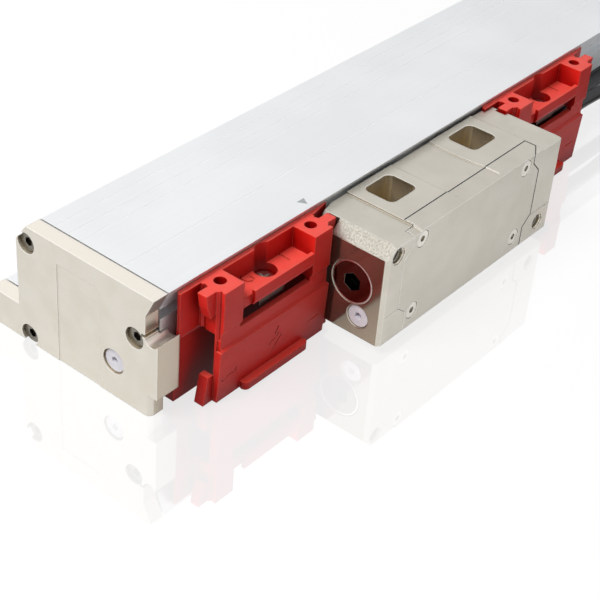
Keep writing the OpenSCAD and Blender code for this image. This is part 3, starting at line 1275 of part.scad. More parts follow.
module connector_ring() color("#b8bbbf") {
  x0 = rear_l + connector_l - ring_l + 2;
  difference() {
    con_rod(x0, x0 + ring_l, ring_r);
    con_rod(x0 - 1, x0 + ring_l + 1, connector_r + ring_play);
    for (k = [0 : ring_grips - 1]) translate([con_x - x0 + 1, con_y, con_z]) rotate([360 * k / ring_grips, 0, 0])
      translate([0, 0, ring_r + grip_r / 2]) rotate([0, -90, 0]) cylinder(h = ring_l + 2, r = grip_r, $fn = 16);
  }
}

housing();
end_cap_left();
end_cap_right();
end_gaskets();
cap_screws();
cap_air_plugs();
glass_scale();
scale_beads();
lip_upper();
lip_lower();
brace_left();
brace_left_screw();
brace_left_nut();
head_block();
head_cover();
cover_gasket();
cover_screws();
blanking_plug();
head_air_plug();
head_board();
coupling_blade();
blade_screws();
coupling_spring();
carriage_frame();
roller_pins();
lamp();
reticle();
detector_board();
roller_1();
roller_2();
roller_3();
roller_4();
roller_5();
cable_ferrule();
cable_lead();
cable_coil();
cable_tail();
connector_body();
connector_insert();
connector_ring();
brace_right();
brace_right_screw();
brace_right_nut();
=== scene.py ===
import json
import math

import bmesh
import bpy
from mathutils import Matrix, Vector


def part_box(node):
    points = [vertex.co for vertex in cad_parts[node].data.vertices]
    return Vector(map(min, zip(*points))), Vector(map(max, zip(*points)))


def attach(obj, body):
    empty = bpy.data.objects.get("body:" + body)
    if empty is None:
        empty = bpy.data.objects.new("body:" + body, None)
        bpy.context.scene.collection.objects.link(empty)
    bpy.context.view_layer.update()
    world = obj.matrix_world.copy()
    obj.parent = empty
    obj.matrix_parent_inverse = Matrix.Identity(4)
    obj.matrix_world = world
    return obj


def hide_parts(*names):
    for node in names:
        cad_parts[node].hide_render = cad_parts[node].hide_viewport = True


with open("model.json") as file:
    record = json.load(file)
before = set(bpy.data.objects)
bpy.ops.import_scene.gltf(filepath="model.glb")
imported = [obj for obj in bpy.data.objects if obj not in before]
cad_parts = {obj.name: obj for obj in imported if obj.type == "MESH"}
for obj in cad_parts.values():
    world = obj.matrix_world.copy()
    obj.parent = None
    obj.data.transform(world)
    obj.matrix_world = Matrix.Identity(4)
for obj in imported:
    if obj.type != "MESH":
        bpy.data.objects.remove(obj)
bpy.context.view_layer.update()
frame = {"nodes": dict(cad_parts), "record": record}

scene = bpy.context.scene
nodes = frame["nodes"]
MM = 0.001


# ---------- camera ----------
def aim(place, heading, dip, roll):
    """A camera at place. Heading turns it about the vertical, dip lowers it and roll leans it, in degrees."""
    a, e, r = (math.radians(v) for v in (heading, dip, roll))
    ahead = Vector((-math.sin(a) * math.cos(e), math.cos(a) * math.cos(e), -math.sin(e)))
    level = ahead.cross(Vector((0, 0, 1))).normalized()
    upright = level.cross(ahead)
    across = level * math.cos(r) + upright * math.sin(r)
    up = upright * math.cos(r) - level * math.sin(r)
    matrix = Matrix((across, up, -ahead)).transposed().to_4x4()
    matrix.translation = place
    return matrix


CAMERA_PLACE = (-0.40517, -0.23115, 0.25091)
HEADING, DIP, ROLL = -53.19, 36.49, 4.94

camera_data = bpy.data.cameras.new("camera")
camera_data.sensor_width = 36
camera_data.lens = 89.86
camera_data.clip_start = 0.02
camera = bpy.data.objects.new("camera", camera_data)
camera.matrix_world = aim(CAMERA_PLACE, HEADING, DIP, ROLL)
scene.collection.objects.link(camera)
scene.camera = camera

# ---------- cable ----------
CABLE_D = 4.2
COIL_CENTRE = (56, -72)
LOW_Z = 2.2
TURN_STEP = 4.4
LOW_TURNS = (29.6, 25.2, 20.8)
HIGH_TURNS = (23.0, 27.4)
# angles in a turn, in degrees: where it steps in, climbs to the upper layer, crosses over and is left
STEP_IN = (270, 360)
CLIMB = (190, 268)
CROSS_OVER = (149, 232)
LEAVE = 149
WOUND_TURNS = 4
WINDING_STEP = 6
# a turn of the upper layer nests between two of the lower at this angle
NEST = 60
NEST_CLEARANCE = 0.005
CROSSING_CLEARANCE = 0.02
# steps between two chosen points of the lead and the tail
SMOOTH_STEPS = 5
LEAD = ((-54, -37.2, 16.4), (-36, -37.2, 16.4), (-12, -37.2, 16.4), (2, -37.3, 16.4), (14, -38, 15.8),
        (25, -39.4, 12.4), (35, -41, 7.6), (45, -42.2, 3.6), (56, -42.4, 2.2))
TAIL = ((70, -95.4, 6), (58, -102, 7.6), (46, -107, 10.6), (33, -110, 13.1))


def ease(value, start, stop):
    """0 before start, 1 after stop, smooth between."""
    t = min(max((value - start) / (stop - start), 0), 1)
    return t * t * (3 - 2 * t)


def through(points, steps):
    """A smooth line through points, with its last point left out."""
    line = []
    for i in range(len(points) - 1):
        a, b, c, d = (Vector(points[min(max(k, 0), len(points) - 1)]) for k in (i - 1, i, i + 1, i + 2))
        for k in range(steps):
            t = k / steps
            line.append(0.5 * (2 * b + (c - a) * t + (2 * a - 5 * b + 4 * c - d) * t ** 2
                               + (3 * b - a - 3 * c + d) * t ** 3))
    return line


def low_radius(turn, angle):
    """Radius of a turn of the lower layer. It moves in by one step over the last quarter of the turn."""
    following = LOW_TURNS[min(turn + 1, 2)]
    return LOW_TURNS[turn] + (following - LOW_TURNS[turn]) * ease(angle, *STEP_IN)


def coil_point(wound):
    """The coil's centre line in radius and height, after wound degrees of winding."""
    turn, angle = divmod(wound, 360)
    turn = int(turn)
    middle = LOW_TURNS[1]
    if turn < 2:
        return low_radius(turn, angle), LOW_Z
    if turn == 2 and angle < STEP_IN[0]:
        climb = math.radians(NEST * ease(angle, *CLIMB))
        return middle - TURN_STEP * math.cos(climb), LOW_Z + TURN_STEP * math.sin(climb)
    if turn == 3 and CROSS_OVER[0] <= angle <= CROSS_OVER[1]:
        over = math.radians(2 * NEST - NEST * ease(angle, *CROSS_OVER))
        return middle + TURN_STEP * math.cos(over), LOW_Z + (TURN_STEP + CROSSING_CLEARANCE) * math.sin(over)
    radius = HIGH_TURNS[0] if turn == 2 or (turn == 3 and angle < CROSS_OVER[0]) else HIGH_TURNS[1]
    height = LOW_Z
    for below in (0, 1):
        gap = radius - low_radius(below, angle)
        height = max(height, LOW_Z + math.sqrt(max((TURN_STEP + NEST_CLEARANCE) ** 2 - gap ** 2, 0)))
    return radius, height


def cable_route():
    """The whole route in millimetres: out of the head, round the coil, and into the connector."""
    route = through(LEAD, SMOOTH_STEPS)
    for wound in range(0, WOUND_TURNS * 360 + LEAVE, WINDING_STEP):
        radius, height = coil_point(wound)
        a = math.radians(wound)
        route.append(Vector((COIL_CENTRE[0] + radius * math.sin(a),
                             COIL_CENTRE[1] + radius * math.cos(a), height)))
    route += through(TAIL, SMOOTH_STEPS)
    route.append(Vector(TAIL[-1]))
    return route


route = cable_route()
cable_line = bpy.data.curves.new("cable", "CURVE")
cable_line.dimensions = "3D"
# each point carries the cable's radius, so the bevel itself is 1
cable_line.bevel_depth = 1
cable_line.bevel_resolution = 6
cable_line.use_fill_caps = True
spline = cable_line.splines.new("POLY")
spline.points.add(len(route) - 1)
for point, place in zip(spline.points, route):
    point.co = (*(place * MM), 1)
    point.radius = CABLE_D * MM / 2
cable = bpy.data.objects.new("cable", cable_line)
scene.collection.objects.link(cable)
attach(cable, "head")
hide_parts("cable_lead", "cable_coil", "cable_tail")


# ---------- materials ----------
def colour(code):
    """Linear colour of an sRGB hex value."""
    parts = (int(code[k:k + 2], 16) / 255 for k in (1, 3, 5))
    return [p / 12.92 if p <= 0.04045 else ((p + 0.055) / 1.055) ** 2.4 for p in parts] + [1]


# Mix takes its two values at inputs 2 and 3 and its two colours at 6 and 7, and gives its colour at output 2
def add(tree, kind, values=None, **settings):
    """Adds a node with its settings. In values a socket is linked, a hex value is turned to a linear colour,
    and anything else is set."""
    node = tree.nodes.new("ShaderNode" + kind)
    for name, value in settings.items():
        setattr(node, name, value)
    for name, value in (values or {}).items():
        if isinstance(value, bpy.types.NodeSocket):
            tree.links.new(value, node.inputs[name])
        else:
            node.inputs[name].default_value = colour(value) if isinstance(value, str) else value
    return node


def new_material(name):
    """An empty material and its node tree."""
    material = bpy.data.materials.new(name)
    material.use_nodes = True
    material.node_tree.nodes.clear()
    return material, material.node_tree


def per_mm(size):
    """Pattern scale for features of size millimetres."""
    return 1 / (size * MM)


def grain(tree, size, stretch=(1, 1, 1), detail=2.0):
    """Even random grain of size millimetres, drawn out along an axis where stretch is small."""
    place = add(tree, "TexCoord").outputs["Object"]
    laid = add(tree, "Mapping", {"Vector": place, "Scale": stretch}).outputs["Vector"]
    return add(tree, "TexNoise", {"Vector": laid, "Scale": per_mm(size), "Detail": detail}).outputs[0]


# the stretch of a grain's values that is drawn out to a pattern's full contrast
SPREAD = {"From Min": 0.35, "From Max": 0.65}


def rounded_edges(tree, radius):
    """The normal with its edges broken by radius millimetres, and how far each point is onto an edge."""
    soft = add(tree, "Bevel", {"Radius": radius * MM}, samples=6).outputs[0]
    flat = add(tree, "NewGeometry").outputs["Normal"]
    turned = add(tree, "VectorMath", {0: soft, 1: flat}, operation="DOT_PRODUCT").outputs["Value"]
    return soft, add(tree, "MapRange", {"Value": turned, "From Min": 0.995, "From Max": 0.8}).outputs[0]


def hollow(tree, reach, start, stop, own=True):
    """1 deep inside a hole, pocket or gap of about reach millimetres, 0 on open faces. Only the piece's own
    hollows count, or the gaps to its neighbours too."""
    seen = add(tree, "AmbientOcclusion", {"Distance": reach * MM}, samples=8, only_local=own)
    open_sky = seen.outputs["AO"]
    return add(tree, "MapRange", {"Value": open_sky, "From Min": start, "From Max": stop}).outputs[0]


def facing(tree, direction, start, stop):
    """1 on faces that point along direction, 0 on the others."""
    flat = add(tree, "NewGeometry").outputs["Normal"]
    along = add(tree, "VectorMath", {0: flat, 1: direction}, operation="DOT_PRODUCT").outputs["Value"]
    return add(tree, "MapRange", {"Value": along, "From Min": start, "From Max": stop}).outputs[0]


def index_mark(tree, middle, base, depth):
    """1 inside a small printed triangle on the top face. Its base lies along the scale round middle, and its
    tip points to the front."""
    place = add(tree, "TexCoord").outputs["Object"]
    parts = add(tree, "SeparateXYZ", {"Vector": place})
    x = add(tree, "Math", {0: parts.outputs["X"], 1: middle[0] * MM}, operation="SUBTRACT").outputs[0]
    side = add(tree, "Math", {0: x}, operation="ABSOLUTE").outputs[0]
    down = add(tree, "Math", {0: middle[1] * MM, 1: parts.outputs["Y"]}, operation="SUBTRACT").outputs[0]
    reach = add(tree, "MapRange", {"Value": down, "From Min": 0, "From Max": depth * MM,
                                   "To Min": base * MM / 2, "To Max": 0}).outputs[0]
    inside = add(tree, "Math", {0: side, 1: reach}, operation="LESS_THAN").outputs[0]
    started = add(tree, "Math", {0: down, 1: 0}, operation="GREATER_THAN").outputs[0]
    short = add(tree, "Math", {0: down, 1: depth * MM}, operation="LESS_THAN").outputs[0]
    top = facing(tree, (0, 0, 1), 0.9, 0.99)
    within = add(tree, "Math", {0: inside, 1: started}, operation="MULTIPLY").outputs[0]
    on_top = add(tree, "Math", {0: short, 1: top}, operation="MULTIPLY").outputs[0]
    return add(tree, "Math", {0: within, 1: on_top}, operation="MULTIPLY").outputs[0]


def anodised_aluminium():
    """Extruded, etched and clear anodised 6063. The etch leaves a silky, slightly cool white, and the die
    leaves faint lines along the length."""
    material, tree = new_material("anodised_aluminium")
    # typical die lines are finer, and these are drawn at 0.45 mm so that they show
    die_lines = grain(tree, 0.45, (0.006, 1, 1), 3)
    # etch pits are typically about 0.05 mm across, drawn at 0.3 mm so that they show
    etch = grain(tree, 0.3)
    cloud = grain(tree, 28, detail=1)
    clouded = add(tree, "MapRange", {"Value": cloud, **SPREAD}).outputs[0]
    metal = add(tree, "Mix", {0: clouded, 6: "#F1F3F5", 7: "#F6F8FA"}, data_type="RGBA").outputs[2]
    faint = add(tree, "MapRange", {"Value": die_lines, **SPREAD, "To Max": 0.1}).outputs[0]
    lined = add(tree, "Mix", {0: faint, 6: metal, 7: "#DEE1E4"}, data_type="RGBA").outputs[2]
    mark = index_mark(tree, middle=(-139.6, -29.6), base=2.9, depth=2.6)
    soft, edge = rounded_edges(tree, 0.08)
    # painted highlight, with some rubbing: the edges are painted nearly white
    rubbed_and_highlit = add(tree, "Math", {0: edge, 1: 0.8}, operation="MULTIPLY").outputs[0]
    bright = add(tree, "Mix", {0: rubbed_and_highlit, 6: lined, 7: "#FAFBFC"}, data_type="RGBA").outputs[2]
    # the etch sits in the narrow grooves of the die and leaves them matt white
    groove = hollow(tree, 0.6, 0.85, 0.55)
    bright = add(tree, "Mix", {0: groove, 6: bright, 7: "#FFFFFF"}, data_type="RGBA").outputs[2]
    ridge = add(tree, "Bump", {"Height": die_lines, "Strength": 0.012, "Distance": 0.02 * MM, "Normal": soft})
    pits = add(tree, "Bump", {"Height": etch, "Strength": 0.08, "Distance": 0.02 * MM,
                              "Normal": ridge.outputs[0]})
    ink = add(tree, "Math", {0: mark, 1: 0.8}, operation="MULTIPLY").outputs[0]
    printed = add(tree, "Mix", {0: ink, 6: bright, 7: "#9A9EA1"}, data_type="RGBA").outputs[2]
    metallic = add(tree, "MapRange", {"Value": groove, "To Min": 0.7, "To Max": 0.1}).outputs[0]
    rough = add(tree, "MapRange", {"Value": etch, **SPREAD, "To Min": 0.38, "To Max": 0.46}).outputs[0]
    shader = add(tree, "BsdfPrincipled", {
        "Base Color": printed, "Metallic": metallic, "Roughness": rough, "Normal": pits.outputs[0]})
    add(tree, "OutputMaterial", {"Surface": shader.outputs[0]})
    return material


def blasted_nickel(name, face, shade, milled=(), cut_shade_tone="#A0947F", cut_rough=0.13, top_light_tone=None):
    """Zinc and aluminium castings, glass-bead blasted and nickel plated: warm grey, satin, with a sandy
    grain and a painted highlight along the edges. Faces that point along milled were cut afterwards, mirror
    what is near and are painted darker as their shade. Faces on top are painted the paler last tone as their
    light."""
    material, tree = new_material(name)
    # bead marks are typically about 0.1 mm across, drawn at 0.3 mm so that they show
    beads = grain(tree, 0.3, detail=3)
    cloud = grain(tree, 9, detail=2)
    soft, edge = rounded_edges(tree, 0.5)
    clouded = add(tree, "MapRange", {"Value": cloud, **SPREAD}).outputs[0]
    plated = add(tree, "Mix", {0: clouded, 6: face, 7: shade}, data_type="RGBA").outputs[2]
    if top_light_tone:
        # painted light: faces that point up and a little to -X are painted the paler top tone
        lit_top_mask = facing(tree, (-0.3, 0, 0.954), 0.6, 0.8)
        plated = add(tree, "Mix", {0: lit_top_mask, 6: plated, 7: top_light_tone}, data_type="RGBA").outputs[2]
    bright_beads = add(tree, "MapRange", {"Value": beads, "From Min": 0.5, "From Max": 0.75,
                                          "To Max": 0.3}).outputs[0]
    speckled = add(tree, "Mix", {0: bright_beads, 6: plated, 7: "#EDEAE2"}, data_type="RGBA").outputs[2]
    # painted highlight: the edges are painted nearly white
    edge_highlit = add(tree, "Mix", {0: edge, 6: speckled, 7: "#FAF8F3"}, data_type="RGBA").outputs[2]
    # painted shade: holes and pockets, found by occlusion, are painted a browner gold, less metallic and
    # smoother
    hollow_shade = hollow(tree, 16, 0.55, 0.25)
    painted_hollow_shade = add(tree, "Math", {0: hollow_shade, 1: 0.9}, operation="MULTIPLY").outputs[0]
    edge_highlit = add(tree, "Mix", {0: painted_hollow_shade, 6: edge_highlit, 7: "#DCC596"}, data_type="RGBA").outputs[2]
    blasted = add(tree, "MapRange", {"Value": beads, **SPREAD, "To Min": 0.3, "To Max": 0.4}).outputs[0]
    rough = add(tree, "Mix", {0: hollow_shade, 2: blasted, 3: 0.16}).outputs[0]
    strength = 0.22
    if milled:
        cut = facing(tree, milled, 0.97, 0.995)
        # painted shade: the cut faces are painted a darker tone
        painted_cut_shade = add(tree, "Math", {0: cut, 1: 0.85}, operation="MULTIPLY").outputs[0]
        edge_highlit = add(tree, "Mix", {0: painted_cut_shade, 6: edge_highlit, 7: cut_shade_tone}, data_type="RGBA").outputs[2]
        rough = add(tree, "Mix", {0: cut, 2: rough, 3: cut_rough}).outputs[0]
        bevel = facing(tree, (-0.707, 0, 0.707), 0.97, 0.995)
        height = add(tree, "MapRange", {"Value": bevel, "To Min": 1.0, "To Max": 4.5}).outputs[0]
        # the bevel is drawn grittier than the other faces, with dark specks
        specks = grain(tree, 0.5, detail=3)
        dark_specks = add(tree, "MapRange", {"Value": specks, "From Min": 0.42, "From Max": 0.62,
                                             "To Max": 0.75}).outputs[0]
        grit = add(tree, "Math", {0: bevel, 1: dark_specks}, operation="MULTIPLY").outputs[0]
        edge_highlit = add(tree, "Mix", {0: grit, 6: edge_highlit, 7: "#A9A398"}, data_type="RGBA").outputs[2]
        flat = add(tree, "MapRange", {"Value": cut, "To Min": 1.0, "To Max": 0.03}).outputs[0]
        relief = add(tree, "Math", {0: height, 1: flat}, operation="MULTIPLY").outputs[0]
        strength = add(tree, "Math", {0: relief, 1: 0.18}, operation="MULTIPLY").outputs[0]
    bumped = add(tree, "Bump", {"Height": beads, "Strength": strength, "Distance": 0.06 * MM, "Normal": soft})
    metallic = add(tree, "MapRange", {"Value": hollow_shade, "To Min": 0.9, "To Max": 0.4}).outputs[0]
    shader = add(tree, "BsdfPrincipled", {
        "Base Color": edge_highlit, "Metallic": metallic, "Roughness": rough, "Normal": bumped.outputs[0]})
    add(tree, "OutputMaterial", {"Surface": shader.outputs[0]})
    return material


def red_moulded_plastic():
    """Injection-moulded red ABS. The mould was spark eroded, so the faces are satin with a fine grain, light
    sinks a little way in and the flow marks look paler. The edges are painted paler as a highlight."""
    material, tree = new_material("red_moulded_plastic")
    # eroded grain is typically about 0.05 mm, drawn at 0.35 mm so that it shows
    eroded = grain(tree, 0.35)
    flow = grain(tree, 6, (0.35, 1, 1), 2)
    soft, edge = rounded_edges(tree, 0.3)
    streaks = add(tree, "MapRange", {"Value": flow, **SPREAD}).outputs[0]
    dye_and_painted_light = add(tree, "Mix", {0: streaks, 6: "#E9241C", 7: "#F02D24"}, data_type="RGBA").outputs[2]
    # painted shade: side faces deep between walls, found by occlusion, are painted a dark red
    top = facing(tree, (0, 0, 1), 0.6, 0.9)
    side = add(tree, "Math", {0: 1.0, 1: top}, operation="SUBTRACT").outputs[0]
    between_walls = hollow(tree, 16, 0.78, 0.4, own=False)
    painted_crevice_shade = add(tree, "Math", {0: side, 1: between_walls}, operation="MULTIPLY").outputs[0]
    dye_and_painted_light = add(tree, "Mix", {0: painted_crevice_shade, 6: dye_and_painted_light, 7: "#A20704"}, data_type="RGBA").outputs[2]
    # painted light: the top faces are painted paler, as lit from above
    painted_top_light = add(tree, "Math", {0: top, 1: 0.55}, operation="MULTIPLY").outputs[0]
    dye_and_painted_light = add(tree, "Mix", {0: painted_top_light, 6: dye_and_painted_light, 7: "#FF6E62"}, data_type="RGBA").outputs[2]
    # painted highlight: the edges are painted a paler red
    painted_edge_highlight = add(tree, "Math", {0: edge, 1: 0.7}, operation="MULTIPLY").outputs[0]
    red_with_edge_highlight = add(tree, "Mix", {0: painted_edge_highlight, 6: dye_and_painted_light, 7: "#FA6450"}, data_type="RGBA").outputs[2]
    bumped = add(tree, "Bump", {"Height": eroded, "Strength": 0.12, "Distance": 0.03 * MM, "Normal": soft})
    rough = add(tree, "MapRange", {"Value": eroded, **SPREAD, "To Min": 0.44, "To Max": 0.54}).outputs[0]
    shader = add(tree, "BsdfPrincipled", {
        "Base Color": red_with_edge_highlight, "Roughness": rough, "IOR": 1.42,
        "Subsurface Weight": 0.4, "Subsurface Radius": (1.0, 0.12, 0.06), "Subsurface Scale": 2 * MM,
        "Normal": bumped.outputs[0]})
    add(tree, "OutputMaterial", {"Surface": shader.outputs[0]})
    return material


def cut_steel(name, tone, shade, roughness, line=0.12, axis=(1, 1, 1), wear_and_highlight=0.5):
    """Small turned, rolled or stamped metal pieces. The tool leaves fine lines, the plating varies a little,
    and the last argument sets how bright the edges are: partly rubbed, partly a painted highlight."""
    material, tree = new_material(name)
    lines = grain(tree, line, axis, 2)
    cloud = grain(tree, 2.5)
    soft, edge = rounded_edges(tree, 0.12)
    clouded = add(tree, "MapRange", {"Value": cloud, **SPREAD}).outputs[0]
    plated = add(tree, "Mix", {0: clouded, 6: tone, 7: shade}, data_type="RGBA").outputs[2]
    # painted highlight, with some rubbing: the edges are painted nearly white
    bright_edge = add(tree, "Math", {0: edge, 1: wear_and_highlight}, operation="MULTIPLY").outputs[0]
    rubbed_and_highlit = add(tree, "Mix", {0: bright_edge, 6: plated, 7: "#F4F2ED"}, data_type="RGBA").outputs[2]
    bumped = add(tree, "Bump", {"Height": lines, "Strength": 0.04, "Distance": 0.02 * MM, "Normal": soft})
    rough = add(tree, "MapRange", {"Value": lines, **SPREAD,
                                   "To Min": roughness - 0.04, "To Max": roughness + 0.06}).outputs[0]
    shader = add(tree, "BsdfPrincipled", {
        "Base Color": rubbed_and_highlit, "Metallic": 1.0, "Roughness": rough, "Normal": bumped.outputs[0]})
    add(tree, "OutputMaterial", {"Surface": shader.outputs[0]})
    return material


# distance from the plug's axis at which the painted highlight of its rim starts, which is drawn on a flat
# disc
RIM_FROM = 6.15


def turned_plug():
    """Turned and nickel-plated plug. The facing cut leaves rings round its middle, so it mirrors softly in
    a fan. Its rim is painted bright as a highlight, and its face dark as its shade."""
    material, tree = new_material("machined_plug")
    low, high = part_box("blanking_plug")
    middle = [(a + b) / 2 for a, b in zip(low, high)]
    place = add(tree, "TexCoord").outputs["Object"]
    moved = add(tree, "VectorMath", {0: place, 1: middle}, operation="SUBTRACT").outputs[0]
    across = add(tree, "VectorMath", {0: moved, 1: (0, 1, 1)}, operation="MULTIPLY").outputs[0]
    radius = add(tree, "VectorMath", {0: across}, operation="LENGTH").outputs["Value"]
    # a facing cut typically feeds 0.1 mm a turn, drawn at 0.35 mm so that it shows
    turned = add(tree, "Math", {0: radius, 1: per_mm(0.35) * 2 * math.pi}, operation="MULTIPLY").outputs[0]
    rings = add(tree, "Math", {0: turned}, operation="SINE").outputs[0]
    rim = add(tree, "Math", {0: radius, 1: RIM_FROM * MM}, operation="GREATER_THAN").outputs[0]
    soft, _ = rounded_edges(tree, 0.25)
    bumped = add(tree, "Bump", {"Height": rings, "Strength": 0.05, "Distance": 0.01 * MM, "Normal": soft})
    # painted light: the face is painted dark as its shade and the rim bright as a highlight
    plated = add(tree, "Mix", {0: rim, 6: "#716B60", 7: "#F3F0EA"}, data_type="RGBA").outputs[2]
    # painted shade: the socket, found by occlusion, is painted dark inside
    painted_socket_shade = add(tree, "Math", {0: hollow(tree, 8, 0.8, 0.45), 1: 0.95}, operation="MULTIPLY").outputs[0]
    shaded = add(tree, "Mix", {0: painted_socket_shade, 6: plated, 7: "#1E1C18"}, data_type="RGBA").outputs[2]
    rough = add(tree, "MapRange", {"Value": rim, "To Min": 0.15, "To Max": 0.3}).outputs[0]
    shader = add(tree, "BsdfPrincipled", {
        "Base Color": shaded, "Metallic": 1.0, "Roughness": rough, "Normal": bumped.outputs[0]})
    add(tree, "OutputMaterial", {"Surface": shader.outputs[0]})
    return material


def soft_black(name, tone, shade, roughness, size):
    """Rubbers and the cable's polyurethane: black with a slight bloom, and a surface that is never quite
    even. Its grain is drawn at size millimetres, coarser than is typical, so that it shows."""
    material, tree = new_material(name)
    skin = grain(tree, size)
    bloom = grain(tree, size * 12)
    bumped = add(tree, "Bump", {"Height": skin, "Strength": 0.15, "Distance": 0.04 * MM})
    bloomed = add(tree, "MapRange", {"Value": bloom, **SPREAD}).outputs[0]
    black = add(tree, "Mix", {0: bloomed, 6: tone, 7: shade}, data_type="RGBA").outputs[2]
    rough = add(tree, "MapRange", {"Value": skin, **SPREAD,
                                   "To Min": roughness - 0.05, "To Max": roughness + 0.07}).outputs[0]
    shader = add(tree, "BsdfPrincipled", {
        "Base Color": black, "IOR": 1.5, "Roughness": rough, "Normal": bumped.outputs[0]})
    add(tree, "OutputMaterial", {"Surface": shader.outputs[0]})
    return material


def moulded(name, tone, shade, roughness):
    """Small plain mouldings with satin faces and a softly broken edge."""
    material, tree = new_material(name)
    # typical moulded grain is finer, and this is drawn at 0.3 mm so that it shows
    skin = grain(tree, 0.3)
    soft, edge = rounded_edges(tree, 0.2)
    clouded = add(tree, "MapRange", {"Value": grain(tree, 3), **SPREAD}).outputs[0]
    body = add(tree, "Mix", {0: clouded, 6: tone, 7: shade}, data_type="RGBA").outputs[2]
    bumped = add(tree, "Bump", {"Height": skin, "Strength": 0.08, "Distance": 0.03 * MM, "Normal": soft})
    bright_edge = add(tree, "Math", {0: edge, 1: 0.4}, operation="MULTIPLY").outputs[0]
    broken = add(tree, "Mix", {0: bright_edge, 6: body, 7: tone}, data_type="RGBA").outputs[2]
    rough = add(tree, "MapRange", {"Value": skin, **SPREAD,
                                   "To Min": roughness - 0.04, "To Max": roughness + 0.05}).outputs[0]
    shader = add(tree, "BsdfPrincipled", {
        "Base Color": broken, "IOR": 1.52, "Roughness": rough, "Normal": bumped.outputs[0]})
    add(tree, "OutputMaterial", {"Surface": shader.outputs[0]})
    return material


# height of the band with the graduation above the mounting face
GRADUATION = (18.5, 23.5)


def graduated_glass(name, tint, period):
    """Float glass, ground and polished, with a chrome graduation: clear and faintly green, with a grey band
    where the lines run."""
    material, tree = new_material(name)
    place = add(tree, "TexCoord").outputs["Object"]
    parts = add(tree, "SeparateXYZ", {"Vector": place})
    # such lines typically stand 0.02 mm apart, drawn much coarser so that they show
    phase = add(tree, "Math", {0: parts.outputs["X"], 1: per_mm(period) * 2 * math.pi},
                operation="MULTIPLY").outputs[0]
    wave = add(tree, "Math", {0: phase}, operation="SINE").outputs[0]
    lines = add(tree, "Math", {0: wave, 1: 0}, operation="GREATER_THAN").outputs[0]
    height = parts.outputs["Z"]
    above = add(tree, "Math", {0: height, 1: GRADUATION[0] * MM}, operation="GREATER_THAN").outputs[0]
    below = add(tree, "Math", {0: height, 1: GRADUATION[1] * MM}, operation="LESS_THAN").outputs[0]
    glass = add(tree, "BsdfPrincipled", {
        "Base Color": tint, "Transmission Weight": 1.0, "Roughness": 0.02, "IOR": 1.52})
    clouded = add(tree, "MapRange", {"Value": grain(tree, 1.5), **SPREAD}).outputs[0]
    plated = add(tree, "Mix", {0: clouded, 6: "#A9B0B2", 7: "#BCC2C4"}, data_type="RGBA").outputs[2]
    chrome = add(tree, "BsdfPrincipled", {"Base Color": plated, "Metallic": 1.0, "Roughness": 0.2})
    band = add(tree, "Math", {0: above, 1: below}, operation="MULTIPLY").outputs[0]
    drawn = add(tree, "Math", {0: lines, 1: band}, operation="MULTIPLY").outputs[0]
    both = add(tree, "MixShader", {0: drawn, 1: glass.outputs[0], 2: chrome.outputs[0]})
    add(tree, "OutputMaterial", {"Surface": both.outputs[0]})
    return material


def circuit_board():
    """Glass-epoxy board under green solder mask: satin green, with raised copper tracks and tinned pads."""
    material, tree = new_material("circuit_board")
    place = add(tree, "TexCoord").outputs["Object"]
    tracks = add(tree, "TexBrick", {"Vector": place, "Scale": per_mm(2.4), "Mortar Size": 0.08,
                                    "Color1": (0, 0, 0, 1), "Color2": (0, 0, 0, 1), "Mortar": (1, 1, 1, 1)})
    spots = add(tree, "TexVoronoi", {"Vector": place, "Scale": per_mm(1.6), "Randomness": 0.0})
    pads = add(tree, "Math", {0: spots.outputs["Distance"], 1: 0.2}, operation="LESS_THAN").outputs[0]
    copper = tracks.outputs["Color"]
    mask = add(tree, "Mix", {0: copper, 6: "#14502E", 7: "#23713F"}, data_type="RGBA").outputs[2]
    bumped = add(tree, "Bump", {"Height": tracks.outputs["Fac"], "Strength": 0.4, "Distance": 0.03 * MM})
    board = add(tree, "Mix", {0: pads, 6: mask, 7: "#C9C6BA"}, data_type="RGBA").outputs[2]
    rough = add(tree, "MapRange", {"Value": grain(tree, 0.4), **SPREAD,
                                   "To Min": 0.28, "To Max": 0.38}).outputs[0]
    shader = add(tree, "BsdfPrincipled", {
        "Base Color": board, "Metallic": pads, "Roughness": rough, "IOR": 1.5, "Normal": bumped.outputs[0]})
    add(tree, "OutputMaterial", {"Surface": shader.outputs[0]})
    return material


